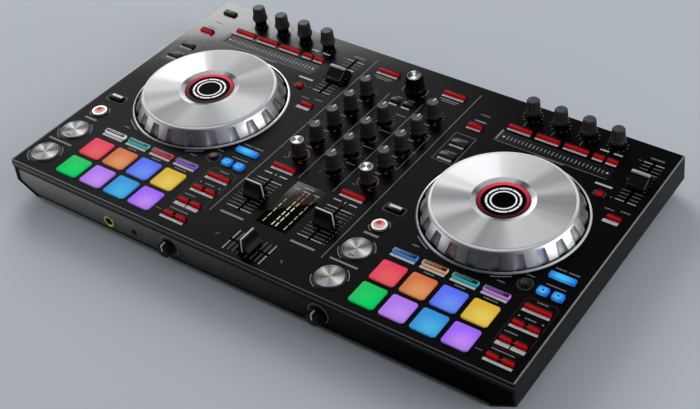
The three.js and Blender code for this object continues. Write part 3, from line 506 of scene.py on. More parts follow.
# Turned metal: the colour it is given, broken up into fine rings by the distance from the middle.
spun, (face, colour, rings, gloss), end = effect(
    "turned_metal", {"Face map": "Vector", "Colour": "Color", "Rings": "Float", "Roughness": "Float"},
    {"Colour": "Color", "Roughness": "Float", "Height": "Float"})
u, v = (part - 0.5 for part in parts_of(face, "XY"))
reach = (u * u + v * v).math("SQRT") * rings
line = put(spun, "CombineXYZ", [("X", reach)])
noise = Field(put(spun, "TexNoise", [("Vector", Field(line)), ("Scale", 1.0), ("Detail", 4.0)]), "Fac")
fleck = (noise - 0.5) * 0.25
tint = put(spun, "HueSaturation", [("Color", colour), ("Value", fleck + 1.0)])
wire(end, [("Colour", Field(tint)), ("Roughness", gloss + fleck), ("Height", noise)])


def turned_metal(name, painted_wedges, rings, roughness=0.5, metallic=0.5):
    """A turned metal face whose colour carries painted light: bright and dark wedges of painted reflection and shade,
    given as (degrees round from +X, brightness from 0 to 255), that close on the first.
    """
    material, tree, shader = new_material(name, ("Metallic", metallic))
    face = Field(put(tree, "UVMap", uv_map="face_map"), "UV")
    across, along = (part - 0.5 for part in parts_of(face, "XY"))
    turns = across.math("ARCTAN2", along, across) / math.tau
    # Painted light: a brightness for each angle round the face, eased from one wedge to the next.
    stops = [(degrees / 360, srgb(level, level, level)) for degrees, level in painted_wedges + [(360, painted_wedges[0][1])]]
    light = ramp(tree, (turns + 1.0).math("FRACT"), stops, "EASE")
    surface = put(tree, "Group", node_tree=spun)
    wire(surface, [("Face map", face), ("Colour", light), ("Rings", rings), ("Roughness", roughness)])
    relief = put(tree, "Bump", [("Height", Field(surface, "Height")), ("Strength", 0.1), ("Distance", 0.0001)])
    wire(shader, [("Base Color", Field(surface, "Colour")), ("Roughness", Field(surface, "Roughness")),
                  ("Normal", Field(relief, "Normal"))])
    return material


# The ring's colour carries painted reflections and shade: bright and dark wedges round it.
ring_metal = turned_metal("base_ring_painted_reflection", [
    (0, 250), (35, 255), (50, 235), (60, 190), (72, 240), (130, 235), (160, 210), (180, 235), (192, 165), (208, 122),
    (222, 145), (240, 180), (250, 190), (260, 150), (272, 112), (288, 124), (300, 170), (318, 220), (330, 250)],
    300.0, 0.35, 0.45)
base_ring = turned([(75.9, -0.3), (75.9, 1.0), (76.2, 1.2), (77.0, 1.15), (77.8, 0.6), (78.0, -0.05), (77.9, -0.3),
                    (75.9, -0.3)], 144, closed=True)
on_decks(flat_map(base_ring, 156), 0, JOG_Y, "@_jog_base_ring", ring_metal)


# The grip of each jog is a silver-painted ring with a steep slope. Twenty-two finger hollows are milled into it,
# round at the top, widening downwards and open at the foot. It turns with the plate that is screwed to it.

HOLLOWS = 22
rim = turned([(66.1, -1.2), (73.7, -1.2), (74.0, -0.9), (74.0, 1.2), (73.8, 1.8), (66.6, 14.0), (66.2, 14.3),
              (66.05, 14.3), (66.05, 13.3), (60.0, 13.3), (66.1, -1.2)], HOLLOWS * 8, closed=True)
start("cube", size=1, location=(0, 0, -13 * MM))
resize(10.4 * MM, 12 * MM, 26 * MM)
pick("edges", upright)
bevel(4.4, 6)
pick("edges", lambda e: all(v.co.z > 12 * MM for v in e.verts))
bevel(1.0, 2)
pick("verts", lambda v: v.co.z < 0)
resize(1.5, 1, 1, (0, 0, -13 * MM))
cutter = leave()
# The mill enters low on the slope and stops short of the top, and it cuts a little deeper at the foot.
slope_top, slope_out, slope_down = Vector((66.6, 0, 14.0)), Vector((0.861, 0, 0.508)), Vector((0.508, 0, -0.861))
mill_top = slope_top + slope_down * 2.3 + slope_out * 4.2
mill_foot = slope_top + slope_down * 16.0 + slope_out * 3.0
mill_turn = (mill_top - mill_foot).to_track_quat("Z", "Y").to_matrix().to_4x4()
cutters = []
for number in range(HOLLOWS):
    turn = Matrix.Rotation(math.tau * number / HOLLOWS, 4, "Z") @ Matrix.Translation(mill_top * MM) @ mill_turn
    cutters.append(copy_to(cutter, Vector(), turn))


def join(pieces):
    """Makes one piece of several."""
    only(pieces[0])
    for piece in pieces:
        piece.select_set(True)
    bpy.ops.object.join()
    return bpy.context.object


mills = join(cutters)
only(rim)
milling = rim.modifiers.new("milling", "BOOLEAN")
milling.object = mills
milling.solver = "EXACT"
bpy.ops.object.modifier_apply(modifier="milling")
bpy.ops.object.shade_smooth_by_angle(angle=math.radians(28))
templates.add(mills)
# Painted light and shade: the grip's colour is painted brighter on the sides that face the lamps and darker on the
# front slopes away from them.
grip_metal = turned_metal("silver_grip_painted_light", [
    (0, 250), (8, 205), (22, 170), (48, 170), (60, 225), (90, 250), (150, 250), (196, 255), (206, 225), (216, 190),
    (250, 175), (262, 150), (300, 150), (312, 225), (324, 255), (350, 255)], 300.0, 0.34, 0.75)
on_decks(flat_map(rim, 150), 0, JOG_Y, "@_jog_grip", grip_metal, "@_jog", ["@_jog_rim"])


# A spun aluminium disc with a bright turned chamfer at its edge, and a polished cone that leads down to the
# display. Its face is turned in fine rings. Painted reflections stand on the face and the cone in wedges of their
# colour, and the chamfer's colour has painted light that makes up for the shade on its front slopes. Its hub runs
# on the display post.

RINGS = 420.0
plate_metals = {
    "left": turned_metal("left_plate_painted_reflection", [
        (0, 170), (24, 130), (34, 120), (46, 130), (60, 150), (70, 125), (85, 130), (105, 150), (124, 152), (131, 170),
        (143, 236), (170, 238), (186, 215), (200, 175), (210, 172), (226, 140), (241, 160), (254, 118), (268, 126),
        (285, 148), (312, 130), (345, 170)], RINGS),
    "right": turned_metal("right_plate_painted_reflection", [
        (0, 185), (12, 160), (24, 145), (32, 150), (44, 195), (60, 162), (67, 165), (80, 200), (105, 210), (120, 225),
        (128, 250), (140, 255), (168, 245), (180, 218), (186, 225), (198, 150), (205, 138), (226, 195), (241, 146),
        (252, 160), (264, 188), (272, 180), (278, 144), (292, 158), (312, 205), (345, 205)], RINGS),
}
chamfer_painted_light = turned_metal("chamfer_painted_light", [
    (0, 225), (25, 255), (60, 255), (180, 255), (215, 255), (250, 255), (310, 250), (340, 225)], RINGS, 0.5, 0.05)
cone_painted_reflection = turned_metal("cone_painted_reflection", [
    (0, 235), (28, 248), (42, 200), (58, 215), (70, 120), (80, 105), (90, 180), (102, 255), (122, 255), (135, 240),
    (160, 222), (188, 125), (202, 205), (216, 222), (250, 255), (264, 255), (285, 130), (300, 128), (330, 222),
    (344, 250)], RINGS, 0.4, 0.25)
plate = turned([(24.4, -11.4), (27.4, -11.4), (27.4, 13.5), (65.9, 13.5), (66.0, 13.7), (66.0, 15.1), (65.8, 15.4),
                (64.0, 15.9), (63.8, 15.7), (63.5, 15.7), (63.3, 16.0), (62.9, 16.0), (29.6, 16.0), (29.3, 16.0),
                (28.9, 15.8), (24.7, 14.55), (24.4, 14.3), (24.4, -11.4)], 144, closed=True)
flat_map(plate, 132)
for material in (plate_metals["right"], chamfer_painted_light, cone_painted_reflection):
    plate.data.materials.append(material)
CHAMFER_REACH, CONE_REACH, HUB_TOP = 63.6, 29.2, 14
for face in plate.data.polygons:
    reach = math.hypot(face.center.x, face.center.y) / MM
    on_cone = reach < CONE_REACH and face.center.z > HUB_TOP * MM
    face.material_index = 1 if reach > CHAMFER_REACH else 2 if on_cone else 0
for side, x in DECKS:
    disc = copy_to(plate, at(x, JOG_Y))
    disc.data.materials[0] = plate_metals[side]
    fit(disc, f"{side}_jog_top", None, f"{side}_jog", [f"{side}_jog_plate"])


# The display stands still in the middle of the jog: a gloss black disc with white position rings, and a ring of
# red light round it. The rings are thin clear mouldings over the lamps, so they stand a hair over the disc.


def lit(name, colour, glow):
    """A plastic piece with a lamp behind it: its colour also shines, a little unevenly."""
    material = moulded(name, colour, 0.35, grain_size=700, drift=0.25, bump=0.02)
    colour_field = Field(material.node_tree.nodes["grain"], "Colour")
    wire(material.node_tree.nodes["Principled BSDF"], [("Emission Color", colour_field), ("Emission Strength", glow)])
    return material


def ring_arc(inner, outer, low, high, gaps=(), sides=72):
    """A flat ring, in millimetres; gaps are (middle, width) in degrees that are left out of it."""
    start("circle", vertices=sides, radius=inner * MM, location=(0, 0, low * MM))
    pull(0, 0, 0)
    resize(outer / inner, outer / inner, 1, (0, 0, low * MM))

    def left_out(face):
        middle = face.calc_center_median()
        angle = math.degrees(math.atan2(middle.y, middle.x))
        return any(abs((angle - gap + 180) % 360 - 180) < width / 2 for gap, width in gaps)

    if gaps:
        pick("faces", left_out)
        bpy.ops.mesh.delete(type="FACE")
    bpy.ops.mesh.select_all(action="SELECT")
    pull(0, 0, high - low)
    return leave(40)


# Light through milky plastic: brightest near one place of the face, falling off to the rim.
backlight, (face, rim_tint, middle_tint, spot), end = effect(
    "backlight", {"Face map": "Vector", "Rim": "Color", "Middle": "Color", "Spot": "Vector"}, {"Colour": "Color"})
far = Field(put(backlight, "VectorMath", [(0, face), (1, spot)], operation="DISTANCE"), "Value")
fall = put(backlight, "MapRange", [("Value", far), ("From Max", 0.75)], interpolation_type="SMOOTHSTEP")
haze = Field(put(backlight, "TexNoise", [("Vector", face), ("Scale", 3.0), ("Detail", 1.0)]), "Fac")
mix = put(backlight, "Mix", data_type="RGBA")
wire(mix, [(0, Field(fall) + (haze - 0.5) * 0.15), (6, middle_tint), (7, rim_tint)])
wire(end, [("Colour", Field(mix, 2))])


def backlit(name, rim, middle, glow=0.26, spot=(0.66, 0.26, 0)):
    """Silicone or clear plastic over a lamp."""
    material, tree, shader = new_material(
        name, ("Emission Strength", glow), ("Roughness", 0.5), ("Specular IOR Level", 0.05))
    face = Field(put(tree, "UVMap", uv_map="face_map"), "UV")
    surface = put(tree, "Group", node_tree=backlight)
    wire(surface, [("Face map", face), ("Rim", srgb(*rim)), ("Middle", srgb(*middle)), ("Spot", spot)])
    wire(shader, [("Base Color", Field(surface)), ("Emission Color", Field(surface))])
    return material


gloss_black = moulded("gloss_black", (4, 4, 5), 0.2, grain_size=300, drift=0.1, bump=0.01, specular=0.003)
for side, x in DECKS:
    keep_node(f"{side}_jog_display", gloss_black, 0.2)
ring_white = lit("display_white", (225, 225, 225), 0.35)
ring_red = backlit("display_red", (34, 2, 10), (255, 62, 84), 0.5, (0.4, 0.75, 0))
notches = [(angle, 3) for angle in range(0, 360, 45)]
for name, ring, material in (("inner_ring", ring_arc(10.7, 12.2, 14.45, 14.56, sides=96), ring_white),
                             ("outer_ring", ring_arc(14.5, 16.4, 14.45, 14.56, notches, 240), ring_white),
                             ("light_ring", ring_arc(20.4, 23.9, 14.3, 14.6, sides=96), ring_red)):
    on_decks(flat_map(ring, 48), 0, JOG_Y, f"@_display_{name}", material)


# Eight backlit pads a deck, moulded with one sheet in milky silicone. Each stands just over the panel, with
# round corners and a soft edge, and its lamp makes it brighter near the middle than at its rim.

COLUMNS = [(i - 1.5) * 30.08 for i in range(4)]
CAP_FOOT = -0.6  # under the panel's face, where the caps meet their moulding


def loose(piece):
    """Moves a template from the middle of the panel to the origin."""
    piece.data.transform(Matrix.Translation(-at(0, 0)))
    return piece


def under_panel(node, material, cut=CAP_FOOT):
    """The part of a moulding that lies under the panel, cut from a copy of its CAD node."""
    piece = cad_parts[node].copy()
    piece.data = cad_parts[node].data.copy()
    for key in list(piece.keys()):
        del piece[key]
    piece.parent = None
    scene.collection.objects.link(piece)
    piece.matrix_world = Matrix.Identity(4)
    only(piece)
    edit()
    bpy.ops.mesh.remove_doubles(threshold=1e-6)
    bpy.ops.mesh.select_all(action="SELECT")
    bpy.ops.mesh.bisect(plane_co=at(0, 0, cut), plane_no=(0, 0, 1), clear_outer=True, use_fill=True)
    leave(30)
    fit(piece, f"{node}_base", material, node, [node])


PAD_SIZE = 24.6
pad_rows = (
    (-107.1, (("red", (232, 62, 92), (248, 100, 100)), ("orange", (214, 112, 62), (236, 160, 104)),
              ("blue", (88, 110, 246), (116, 152, 255)), ("yellow", (222, 180, 50), (246, 214, 96)))),
    (-137.1, (("green", (0, 196, 92), (4, 222, 104)), ("violet", (178, 118, 240), (206, 150, 255)),
              ("sky", (48, 146, 222), (76, 190, 238)), ("purple", (160, 100, 250), (204, 146, 255)))),
)
pad = flat_map(loose(slab(PAD_SIZE, PAD_SIZE, CAP_FOOT, 1.3, corner=2.2, edge=0.3)), PAD_SIZE)
silicone = moulded("milky_silicone", (120, 110, 130), 0.6)
for side, x in DECKS:
    under_panel(f"{side}_pads", silicone)
for y, row in pad_rows:
    for dx, (colour, rim_colour, middle_colour) in zip(COLUMNS, row):
        light = backlit(f"pad_{colour}", rim_colour, middle_colour)
        on_decks(pad, dx, y, f"@_pad_{colour}", light, "@_pads")


# The four pad-mode keys of a deck are black caps, each held in a clear frame that a lamp lights in its own colour.
# The colour shows as a thin line round the cap and as a bar along its front. The word on the cap lights too.


def ink(marks, z=0.0, thickness=0.07):
    """Thin flat marks printed or inlaid over the panel; each is (x, y, width, depth) or also degrees of turn."""
    sunk = 0.05
    for number, (x, y, width, depth, *turn) in enumerate(marks):
        spot = at(x, y, z - sunk)
        if number:
            bpy.ops.mesh.primitive_plane_add(size=MM, location=spot)
        else:
            start("plane", size=MM, location=spot)
        resize(width, depth, 1, spot)
        if turn:
            bpy.ops.transform.rotate(value=-math.radians(turn[0]), orient_axis="Z", center_override=spot)
    bpy.ops.mesh.select_all(action="SELECT")
    pull(0, 0, thickness + sunk)
    return leave(30)


def words(x, y, width, height=1.3):
    """A line of small print, broken into bars of uneven length."""
    marks, start, number = [], -width / 2, 0
    while width / 2 - start > 0.4:
        length = min((1.2, 0.8, 1.5, 0.9, 1.1)[number % 5], width / 2 - start)
        marks.append((x + start + length / 2, y, length, height * (1.0, 0.85, 1.1)[number % 3]))
        start += length + 0.45
        number += 1
    return marks


MODE_Y = -81.2
mode_frame = loose(slab(24.6, 5.0, CAP_FOOT, 1.9, corner=0.7, edge=0.3, y=0.2))
mode_cap = loose(slab(23.2, 3.9, 1.2, 2.1, corner=0.4, edge=0.15, y=0.25))
mode_word = loose(ink(words(0, 0.3, 12, 1.5), z=2.1))
cap_black = moulded("cap_black", (18, 18, 20), 0.35, grain_size=1400, drift=0.15)
mode_colours = {
    "left": (("white", (222, 226, 234)), ("teal", (60, 180, 185)), ("red", (215, 45, 60)),
             ("purple", (140, 85, 215))),
    "right": (("blue", (50, 125, 225)), ("orange", (228, 158, 104)), ("teal", (30, 175, 178)),
              ("violet", (196, 125, 235))),
}
for side, x in DECKS:
    under_panel(f"{side}_mode_keys", cap_black)
    for dx, (colour, shade) in zip(COLUMNS, mode_colours[side]):
        light = lit(f"{side}_mode_light_{colour}", shade, 0.5)
        dim = lit(f"{side}_mode_word_{colour}", [0.62 * level for level in shade], 0.3)
        parts = (("frame", mode_frame, light), ("cap", mode_cap, cap_black), ("word", mode_word, dim))
        for part, template, material in parts:
            piece = copy_to(template, at(x + dx, MODE_Y))
            fit(piece, f"{side}_mode_{part}_{colour}", material, f"{side}_mode_keys")


# The effect keys over each touch strip are red translucent caps of one moulding, three wide and two narrow.


def key(width, depth, span, over, corner=0.6, edge=0.5):
    """The cap of a key; the light of its lamp is spread over span by over millimetres of it."""
    return flat_map(loose(slab(width, depth, CAP_FOOT, 2.6, corner, edge)), span, over)


FX_Y = 117.7
HALF_KEY = 7.05  # from the middle of a pair of narrow keys to the middle of each
PAIR = (-HALF_KEY, HALF_KEY)
key_red = backlit("key_red", (52, 3, 5), (194, 14, 18), 0.26, (0.62, 0.05, 0))
wide_key, half_key = key(24.6, 4.6, 90, 5.2), key(10.5, 4.6, 40, 5.2)
for side, x in DECKS:
    under_panel(f"{side}_fx_keys", key_red)
fx_keys = [(wide_key, dx) for dx in COLUMNS[:3]] + [(half_key, COLUMNS[3] + dx) for dx in PAIR]
for number, (template, dx) in enumerate(fx_keys, 1):
    on_decks(template, dx, FX_Y, f"@_fx_key_{number}", key_red, "@_fx_keys")


# The loop, key-shift and tempo keys run down the outer side of each deck. The loop and tempo keys are red caps, the
# three key-lock keys glow blue, and the two round buttons stand in collars between them and the jog.

LOOP_X = 84.2
LOOP_ROWS = (-141.8, -121.6, -101.4)
SHIFT_PAIR_Y, LOCK_Y = -60.8, -39.8
RED_BUTTON, BLACK_BUTTON = (61.5, 71.6), (60, -60.2)
key_blue = backlit("key_blue", (0, 48, 190), (66, 188, 250), 0.45, (0.5, 0.4, 0))
blue_wide, blue_half = key(24.6, 6.2, 24.6, None, 0.8, 0.6), key(10.5, 8.2, 10.5, None, 1.6, 0.6)
tempo_key = key(13, 4.6, 50, 5.2)
round_button = turned([(3.5, CAP_FOOT), (3.5, 0.95), (4.2, 1.0), (4.2, 1.9), (3.9, 2.35), (3.0, 2.6),
                       (0.8, 2.45)], 32)
flat_map(round_button, 20, 9)
collar = turned([(4.4, -0.1), (4.4, 0.5), (4.6, 0.7), (5.1, 0.7), (5.5, 0.3), (5.5, -0.1), (4.4, -0.1)], 32,
                closed=True)
triangle = turned([(1.7, 2.58), (1.7, 2.66)], 3)
outer_keys = [(half_key, LOOP_X + dx, y, key_red) for y in LOOP_ROWS for dx in PAIR]
outer_keys += [(wide_key, LOOP_X, MODE_Y, key_red), (tempo_key, 87.6, 48.5, key_red)]
outer_keys += [(round_button, *RED_BUTTON, key_red)]
outer_keys += [(blue_half, LOOP_X + dx, SHIFT_PAIR_Y, key_blue) for dx in PAIR]
outer_keys += [(blue_wide, LOOP_X, LOCK_Y, key_blue), (round_button, *BLACK_BUTTON, cap_black)]
outer_keys += [(triangle, LOOP_X + dx, SHIFT_PAIR_Y, cap_black) for dx in PAIR]
for side, x in DECKS:
    under_panel(f"{side}_loop_keys", key_red)
for number, (template, dx, y, material) in enumerate(outer_keys, 1):
    on_decks(template, dx, y, f"@_outer_key_{number}", material, "@_loop_keys")
for number, (dx, y) in enumerate((RED_BUTTON, BLACK_BUTTON), 1):
    on_decks(collar, dx, y, f"@_button_collar_{number}", socket_black)


# The side keys stand between the mixer and each jog: grey caps, one of them red and the shift key white, and the
# round sync button with its polished rim and red lit middle. The left deck has one grey key more, at the back.

SIDE_X = -85.3
SHIFT_Y, SYNC_Y = -37.2, -61.7
key_grey = moulded("key_grey", (44, 44, 47), 0.4, grain_size=1600, drift=0.15)
key_white = lit("key_white", (205, 205, 208), 0.2)
side_key = key(15, 6.4, 50, 7, edge=0.6)
shift_strip = loose(ink([(0, 1.3, 12.4, 2.9)], z=2.6))
sync_rim = turned([(5.3, 2.0), (7.2, 2.0), (7.6, 1.6), (7.6, CAP_FOOT), (5.3, CAP_FOOT), (5.3, 2.0)], 40, closed=True)
sync_lamp = flat_map(turned([(5.2, CAP_FOOT), (5.2, 2.1), (4.7, 2.4), (3.6, 2.5)], 32), 10)
sync_glow = backlit("sync_glow", (232, 190, 186), (176, 26, 10), 0.35, (0.36, 0.66, 0))
sync_chrome = moulded("sync_chrome", (200, 196, 196), 0.35, drift=0.1, metallic=0.6)
for side, x in DECKS:
    under_panel(f"{side}_side_keys", key_grey)
side_pieces = [(f"side_key_{number}", side_key, y, material) for number, (y, material) in enumerate(
    ((101, key_red), (70.4, key_grey), (49.4, key_grey), (SHIFT_Y, cap_black)), 1)]
side_pieces += [("shift_strip", shift_strip, SHIFT_Y, key_white), ("sync_rim", sync_rim, SYNC_Y, sync_chrome),
                ("sync_lamp", sync_lamp, SYNC_Y, sync_glow)]
for name, template, y, material in side_pieces:
    on_decks(template, SIDE_X, y, f"@_{name}", material, "@_side_keys")
extra_key = copy_to(side_key, at(DECKS[0][1] + SIDE_X, 139.7))
fit(extra_key, "left_side_key_5", key_grey, "left_side_keys")


# The mixer's keys are the same kind of caps: red load and cue keys for each channel, and two small grey ones.

CHANNELS, CENTRE_KEYS = (-39.3, 39.3), (-7.4, 7.4)
mixer_key = key(24.4, 4.8, 90, 5.4)
small_key = loose(slab(9.4, 5.2, CAP_FOOT, 2.6, 0.6, 0.6))
under_panel("mixer_keys", key_red)
mixer_table = [(mixer_key, x, y, key_red) for x in CHANNELS for y in (133.4, -39.8)]
mixer_table += [(small_key, x, 97, key_grey) for x in CENTRE_KEYS]
for number, (template, x, y, material) in enumerate(mixer_table, 1):
    fit(copy_to(template, at(x, y)), f"mixer_key_{number}", material, "mixer_keys")


# The cue and play buttons are discs of turned aluminium, slightly dished, each in a black sleeve under the panel.
# Painted reflections stand on them in bright wedges of their colour. The play button's symbol is lit yellow-green.

CUE_Y, PLAY_Y = -96.0, -135.2
button_metal = turned_metal("turned_button", [
    (0, 185), (20, 150), (40, 92), (58, 60), (75, 105), (102, 170), (118, 130), (130, 100), (142, 130), (156, 195),
    (180, 140), (200, 80), (216, 58), (232, 90), (250, 130), (280, 130), (300, 105), (315, 110), (332, 150),
    (350, 200)], 60.0, 0.45, 0.5)
transport = turned([(13.2, CAP_FOOT), (13.2, 1.2), (12.9, 1.6), (12.4, 1.7), (11.9, 1.6), (11.5, 1.35), (6.0, 1.2),
                    (1.0, 1.15)], 64)
flat_map(transport, 26.4)
sleeve = turned([(13.45, -0.5), (13.45, 0.1), (13.7, 0.25), (14.5, 0.25), (14.7, 0.1), (14.7, -0.1), (13.45, -0.5)],
                64, closed=True)
sleeve_black = moulded("sleeve_black", (14, 14, 15), 0.3)
for action, y in (("cue", CUE_Y), ("play", PLAY_Y)):
    for side, x in DECKS:
        under_panel(f"{side}_{action}_button", sleeve_black)
    button = f"@_{action}_button"
    on_decks(transport, SIDE_X, y, f"{button}_disc", button_metal, button)
    on_decks(sleeve, SIDE_X, y, f"{button}_sleeve", sleeve_black)
play_symbol = loose(ink([(-4.4, 0.4, 0.7, 3.2), (-3.6, 0.4, 0.7, 2.2), (-2.8, 0.4, 0.7, 1.2), (3.2, -0.2, 0.8, 3.0),
                         (4.8, -0.2, 0.8, 3.0)], z=1.2))
cue_symbol = loose(ink([(-1.6, 0, 1.5, 2.2), (0.3, 0, 0.8, 2.2), (1.8, 0, 1.2, 2.2)], z=1.33))
play_green = lit("play_green", (190, 200, 70), 0.25)
on_decks(play_symbol, SIDE_X, PLAY_Y, "@_play_symbol", play_green, "@_play_button")
cue_dark = moulded("cue_dark", (30, 30, 30), 0.4)
on_decks(cue_symbol, SIDE_X + 0.5, -105.2, "@_cue_symbol", cue_dark, "@_cue_button")


# Each touch strip is a dark polycarbonate strip that lies a little below the panel's face, over a sensor. Its left
# end has a light-grey bevel; lit ticks stand along its middle, with a small triangle at each end.

STRIP_Y = 101.6
strip_dark = moulded("touch_strip_dark", (15, 14, 14), 0.28, grain_size=1200, drift=0.2, specular=0.06)
strip_light = lit("touch_strip_ticks", (165, 165, 165), 0.12)
bevel_grey = moulded("bevel_grey", (130, 130, 130), 0.4, drift=0.2)
ticks = [(dx, STRIP_Y, 0.6, 4.6 if number % 6 else 5.6) for number, dx in enumerate(range(-50, 51, 4))]
strip_end = slab(2.2, 15.4, -0.75, -0.1, edge=0.3, x=-59.6, y=102.4)
end_mark = turned([(1.6, -0.75), (1.6, -0.62)], 3)


def turn_z(degrees):
    return Matrix.Rotation(math.radians(degrees), 4, "Z")


for side, x in DECKS:
    keep_node(f"{side}_touch_strip", strip_dark, 0.15)
on_decks(loose(ink(ticks, z=-0.72)), 0, 0, "@_strip_ticks", strip_light)
on_decks(loose(strip_end), 0, 0, "@_strip_end", bevel_grey)
for end, dx, degrees in (("left", -54.5, 180), ("right", 54.5, 0)):
    on_decks(end_mark, dx, STRIP_Y, f"@_strip_mark_{end}", key_white, turn=turn_z(degrees))


# The channel faders and the crossfader have the same cap: a black moulded wedge with hollow sides and a narrow
# ridge. A white line is inlaid along the ridge and down one end. The cap is pressed on the fader's steel stem.


def middle(node):
    """The place over the panel of the middle of a CAD node."""
    low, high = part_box(node)
    return (low[0] + high[0]) / 2 / MM, (low[1] + high[1]) / 2 / MM - MIDDLE_Y


KNOB_CUT, FADER_CUT = 0.75, 1.1  # heights over the panel at which the stems go into their caps


def on_stem(node, parts, cut=KNOB_CUT, turn=0):
    """A cap on its steel stem; parts are (name, template, material) and perhaps a turn of their own."""
    spot = at(*middle(node))
    under_panel(node, steel, cut)
    for part, template, material, *own_turn in parts:
        fit(copy_to(template, spot, turn_z(turn + sum(own_turn))), f"{node}_{part}", material, node)
    return spot


def break_edges(sharp, width):
    """Ends edit mode with a bevel on the edges that turn by more than an angle."""
    pick("edges", lambda e: abs(e.calc_face_angle(0)) > math.radians(sharp))
    bevel(width, 2)
    leave(32)


cap = loose(along_x([(-7.0, 1.2), (7.0, 1.2), (7.0, 2.8), (6.7, 3.3), (5.2, 4.8), (4.0, 6.8), (3.2, 9.0), (1.9, 14.4),
                     (1.2, 15.2), (0.8, 15.4), (-0.8, 15.4), (-1.2, 15.2), (-1.9, 14.4), (-3.2, 9.0), (-4.0, 6.8),
                     (-5.2, 4.8), (-6.7, 3.3), (-7.0, 2.8), (-7.0, 1.2)], -9.5, 9.5))
only(cap)
edit()
pick("verts", lambda v: v.co.z > 14 * MM)
resize(0.9, 1, 1, (0, 0, 0))
break_edges(50, 0.35)
ridge_line = loose(along_x([(-8.7, 14.4), (-8.5, 15.48), (8.5, 15.48), (8.9, 14.6), (9.74, 3.4), (9.68, 1.3),
                            (9.4, 1.3), (9.4, 3.3), (8.5, 14.5), (8.2, 15.25), (-8.2, 15.25), (-8.4, 14.4),
                            (-8.7, 14.4)], -0.7, 0.7))
fader_black = moulded("fader_black", (15, 15, 16), 0.38, grain_size=1500, drift=0.15, specular=0.15)
line_white = moulded("line_white", (222, 222, 222), 0.4)
steel = moulded("stem_steel", (120, 120, 122), 0.35, metallic=1.0)
cap_parts = (("cap", cap, fader_black), ("line", ridge_line, line_white, -90))
for node, turn in (("left_channel_fader", 0), ("right_channel_fader", 0), ("crossfader", -90)):
    on_stem(node, cap_parts, FADER_CUT, turn)


# The tempo faders have a longer cap: black, sloping down to a ribbed foot towards the user and more steeply to the
# back, with a light edge down its right side and a broad grey grip bar across its top.

tempo_cap = loose(along_x([(-12.5, 1.2), (10.5, 1.2), (10.5, 2.4), (9.8, 3.2), (2.9, 8.6), (2.4, 9.6), (2.2, 10.7),
                           (-2.2, 10.7), (-2.5, 9.4), (-3.4, 8.4), (-9.2, 4.9), (-9.7, 4.4), (-10.3, 4.6),
                           (-10.8, 3.9), (-11.4, 4.1), (-12.0, 3.5), (-12.5, 2.8), (-12.5, 1.2)], -9.0, 9.0))
only(tempo_cap)
edit()
break_edges(70, 0.5)
grip_bar = loose(slab(17.8, 3.7, 10.2, 12.0, corner=0.6, edge=0.6))
side_line = loose(along_x([(-11.6, 3.9), (-9.4, 4.85), (-3.4, 8.5), (-2.4, 9.8), (-2.0, 9.2), (-3.0, 7.8),
                           (-9.3, 4.1), (-11.5, 3.3), (-11.6, 3.9)], 8.5, 9.04))
grip_grey = moulded("grip_grey", (176, 176, 176), 0.4, drift=0.2)
edge_grey = moulded("cap_edge_grey", (104, 104, 104), 0.45, drift=0.2)
tempo_parts = (("cap", tempo_cap, fader_black), ("grip", grip_bar, grip_grey), ("edge", side_line, edge_grey))
for side, x in DECKS:
    on_stem(f"{side}_tempo_fader", tempo_parts, FADER_CUT)


# The mixer's knobs are two-shot mouldings, pressed on their pots' shafts: a gloss black foot, a soft grey fluted
# grip that flares to a low skirt, a paler crown and a white pointer. The filter knobs have a turned metal top with
# a bright rim instead of the crown, and a red lit ring on the panel round them.


def fluted(profile, low, high, inward, sides=48):
    """A turned knob body with a grip flute at every fourth side, between two heights."""
    piece = turned(profile, sides)
    only(piece)
    edit()
    step = math.tau / sides

    def in_flute(v):
        return low * MM < v.co.z < high * MM and round(math.atan2(v.co.y, v.co.x) / step) % 4 == 0

    pick("verts", in_flute)
    resize(inward, inward, 1, (0, 0, 0))
    return leave(35)


knob_gloss = moulded("knob_gloss", (9, 9, 10), 0.25, drift=0.1, specular=0.08)
knob_soft = moulded("knob_soft_grey", (50, 50, 51), 0.55, grain_size=2400, drift=0.2, specular=0.14)
knob_crown = moulded("knob_crown", (66, 66, 68), 0.5, drift=0.2)
mixer_foot = turned([(3.1, 0.8), (6.8, 0.8), (7.0, 1.0), (7.0, 2.4), (3.1, 2.4), (3.1, 0.8)], 48, closed=True)
mixer_grip = fluted([(3.1, 2.2), (7.3, 2.2), (7.6, 2.5), (7.5, 3.4), (6.9, 4.6), (6.6, 6.4), (6.1, 16.9), (6.0, 17.4),
                     (5.5, 17.8)], 4.4, 17.6, 0.92)
mixer_crown = turned([(3.1, 17.4), (5.2, 17.65), (5.7, 17.75), (5.6, 18.3), (5.2, 18.6), (3.0, 18.5)], 48)
mixer_pointer = loose(slab(1.5, 5.2, 18.3, 18.85, edge=0.15, y=3.3))
red_ring = ring_arc(9.3, 10.0, -0.05, 0.1, [(270, 70)])
filter_top = turned([(3.1, 17.5), (6.0, 17.5), (6.1, 18.2), (5.9, 18.5), (5.6, 18.6), (5.4, 18.4), (1.0, 18.3)], 48)
flat_map(filter_top, 12.2)
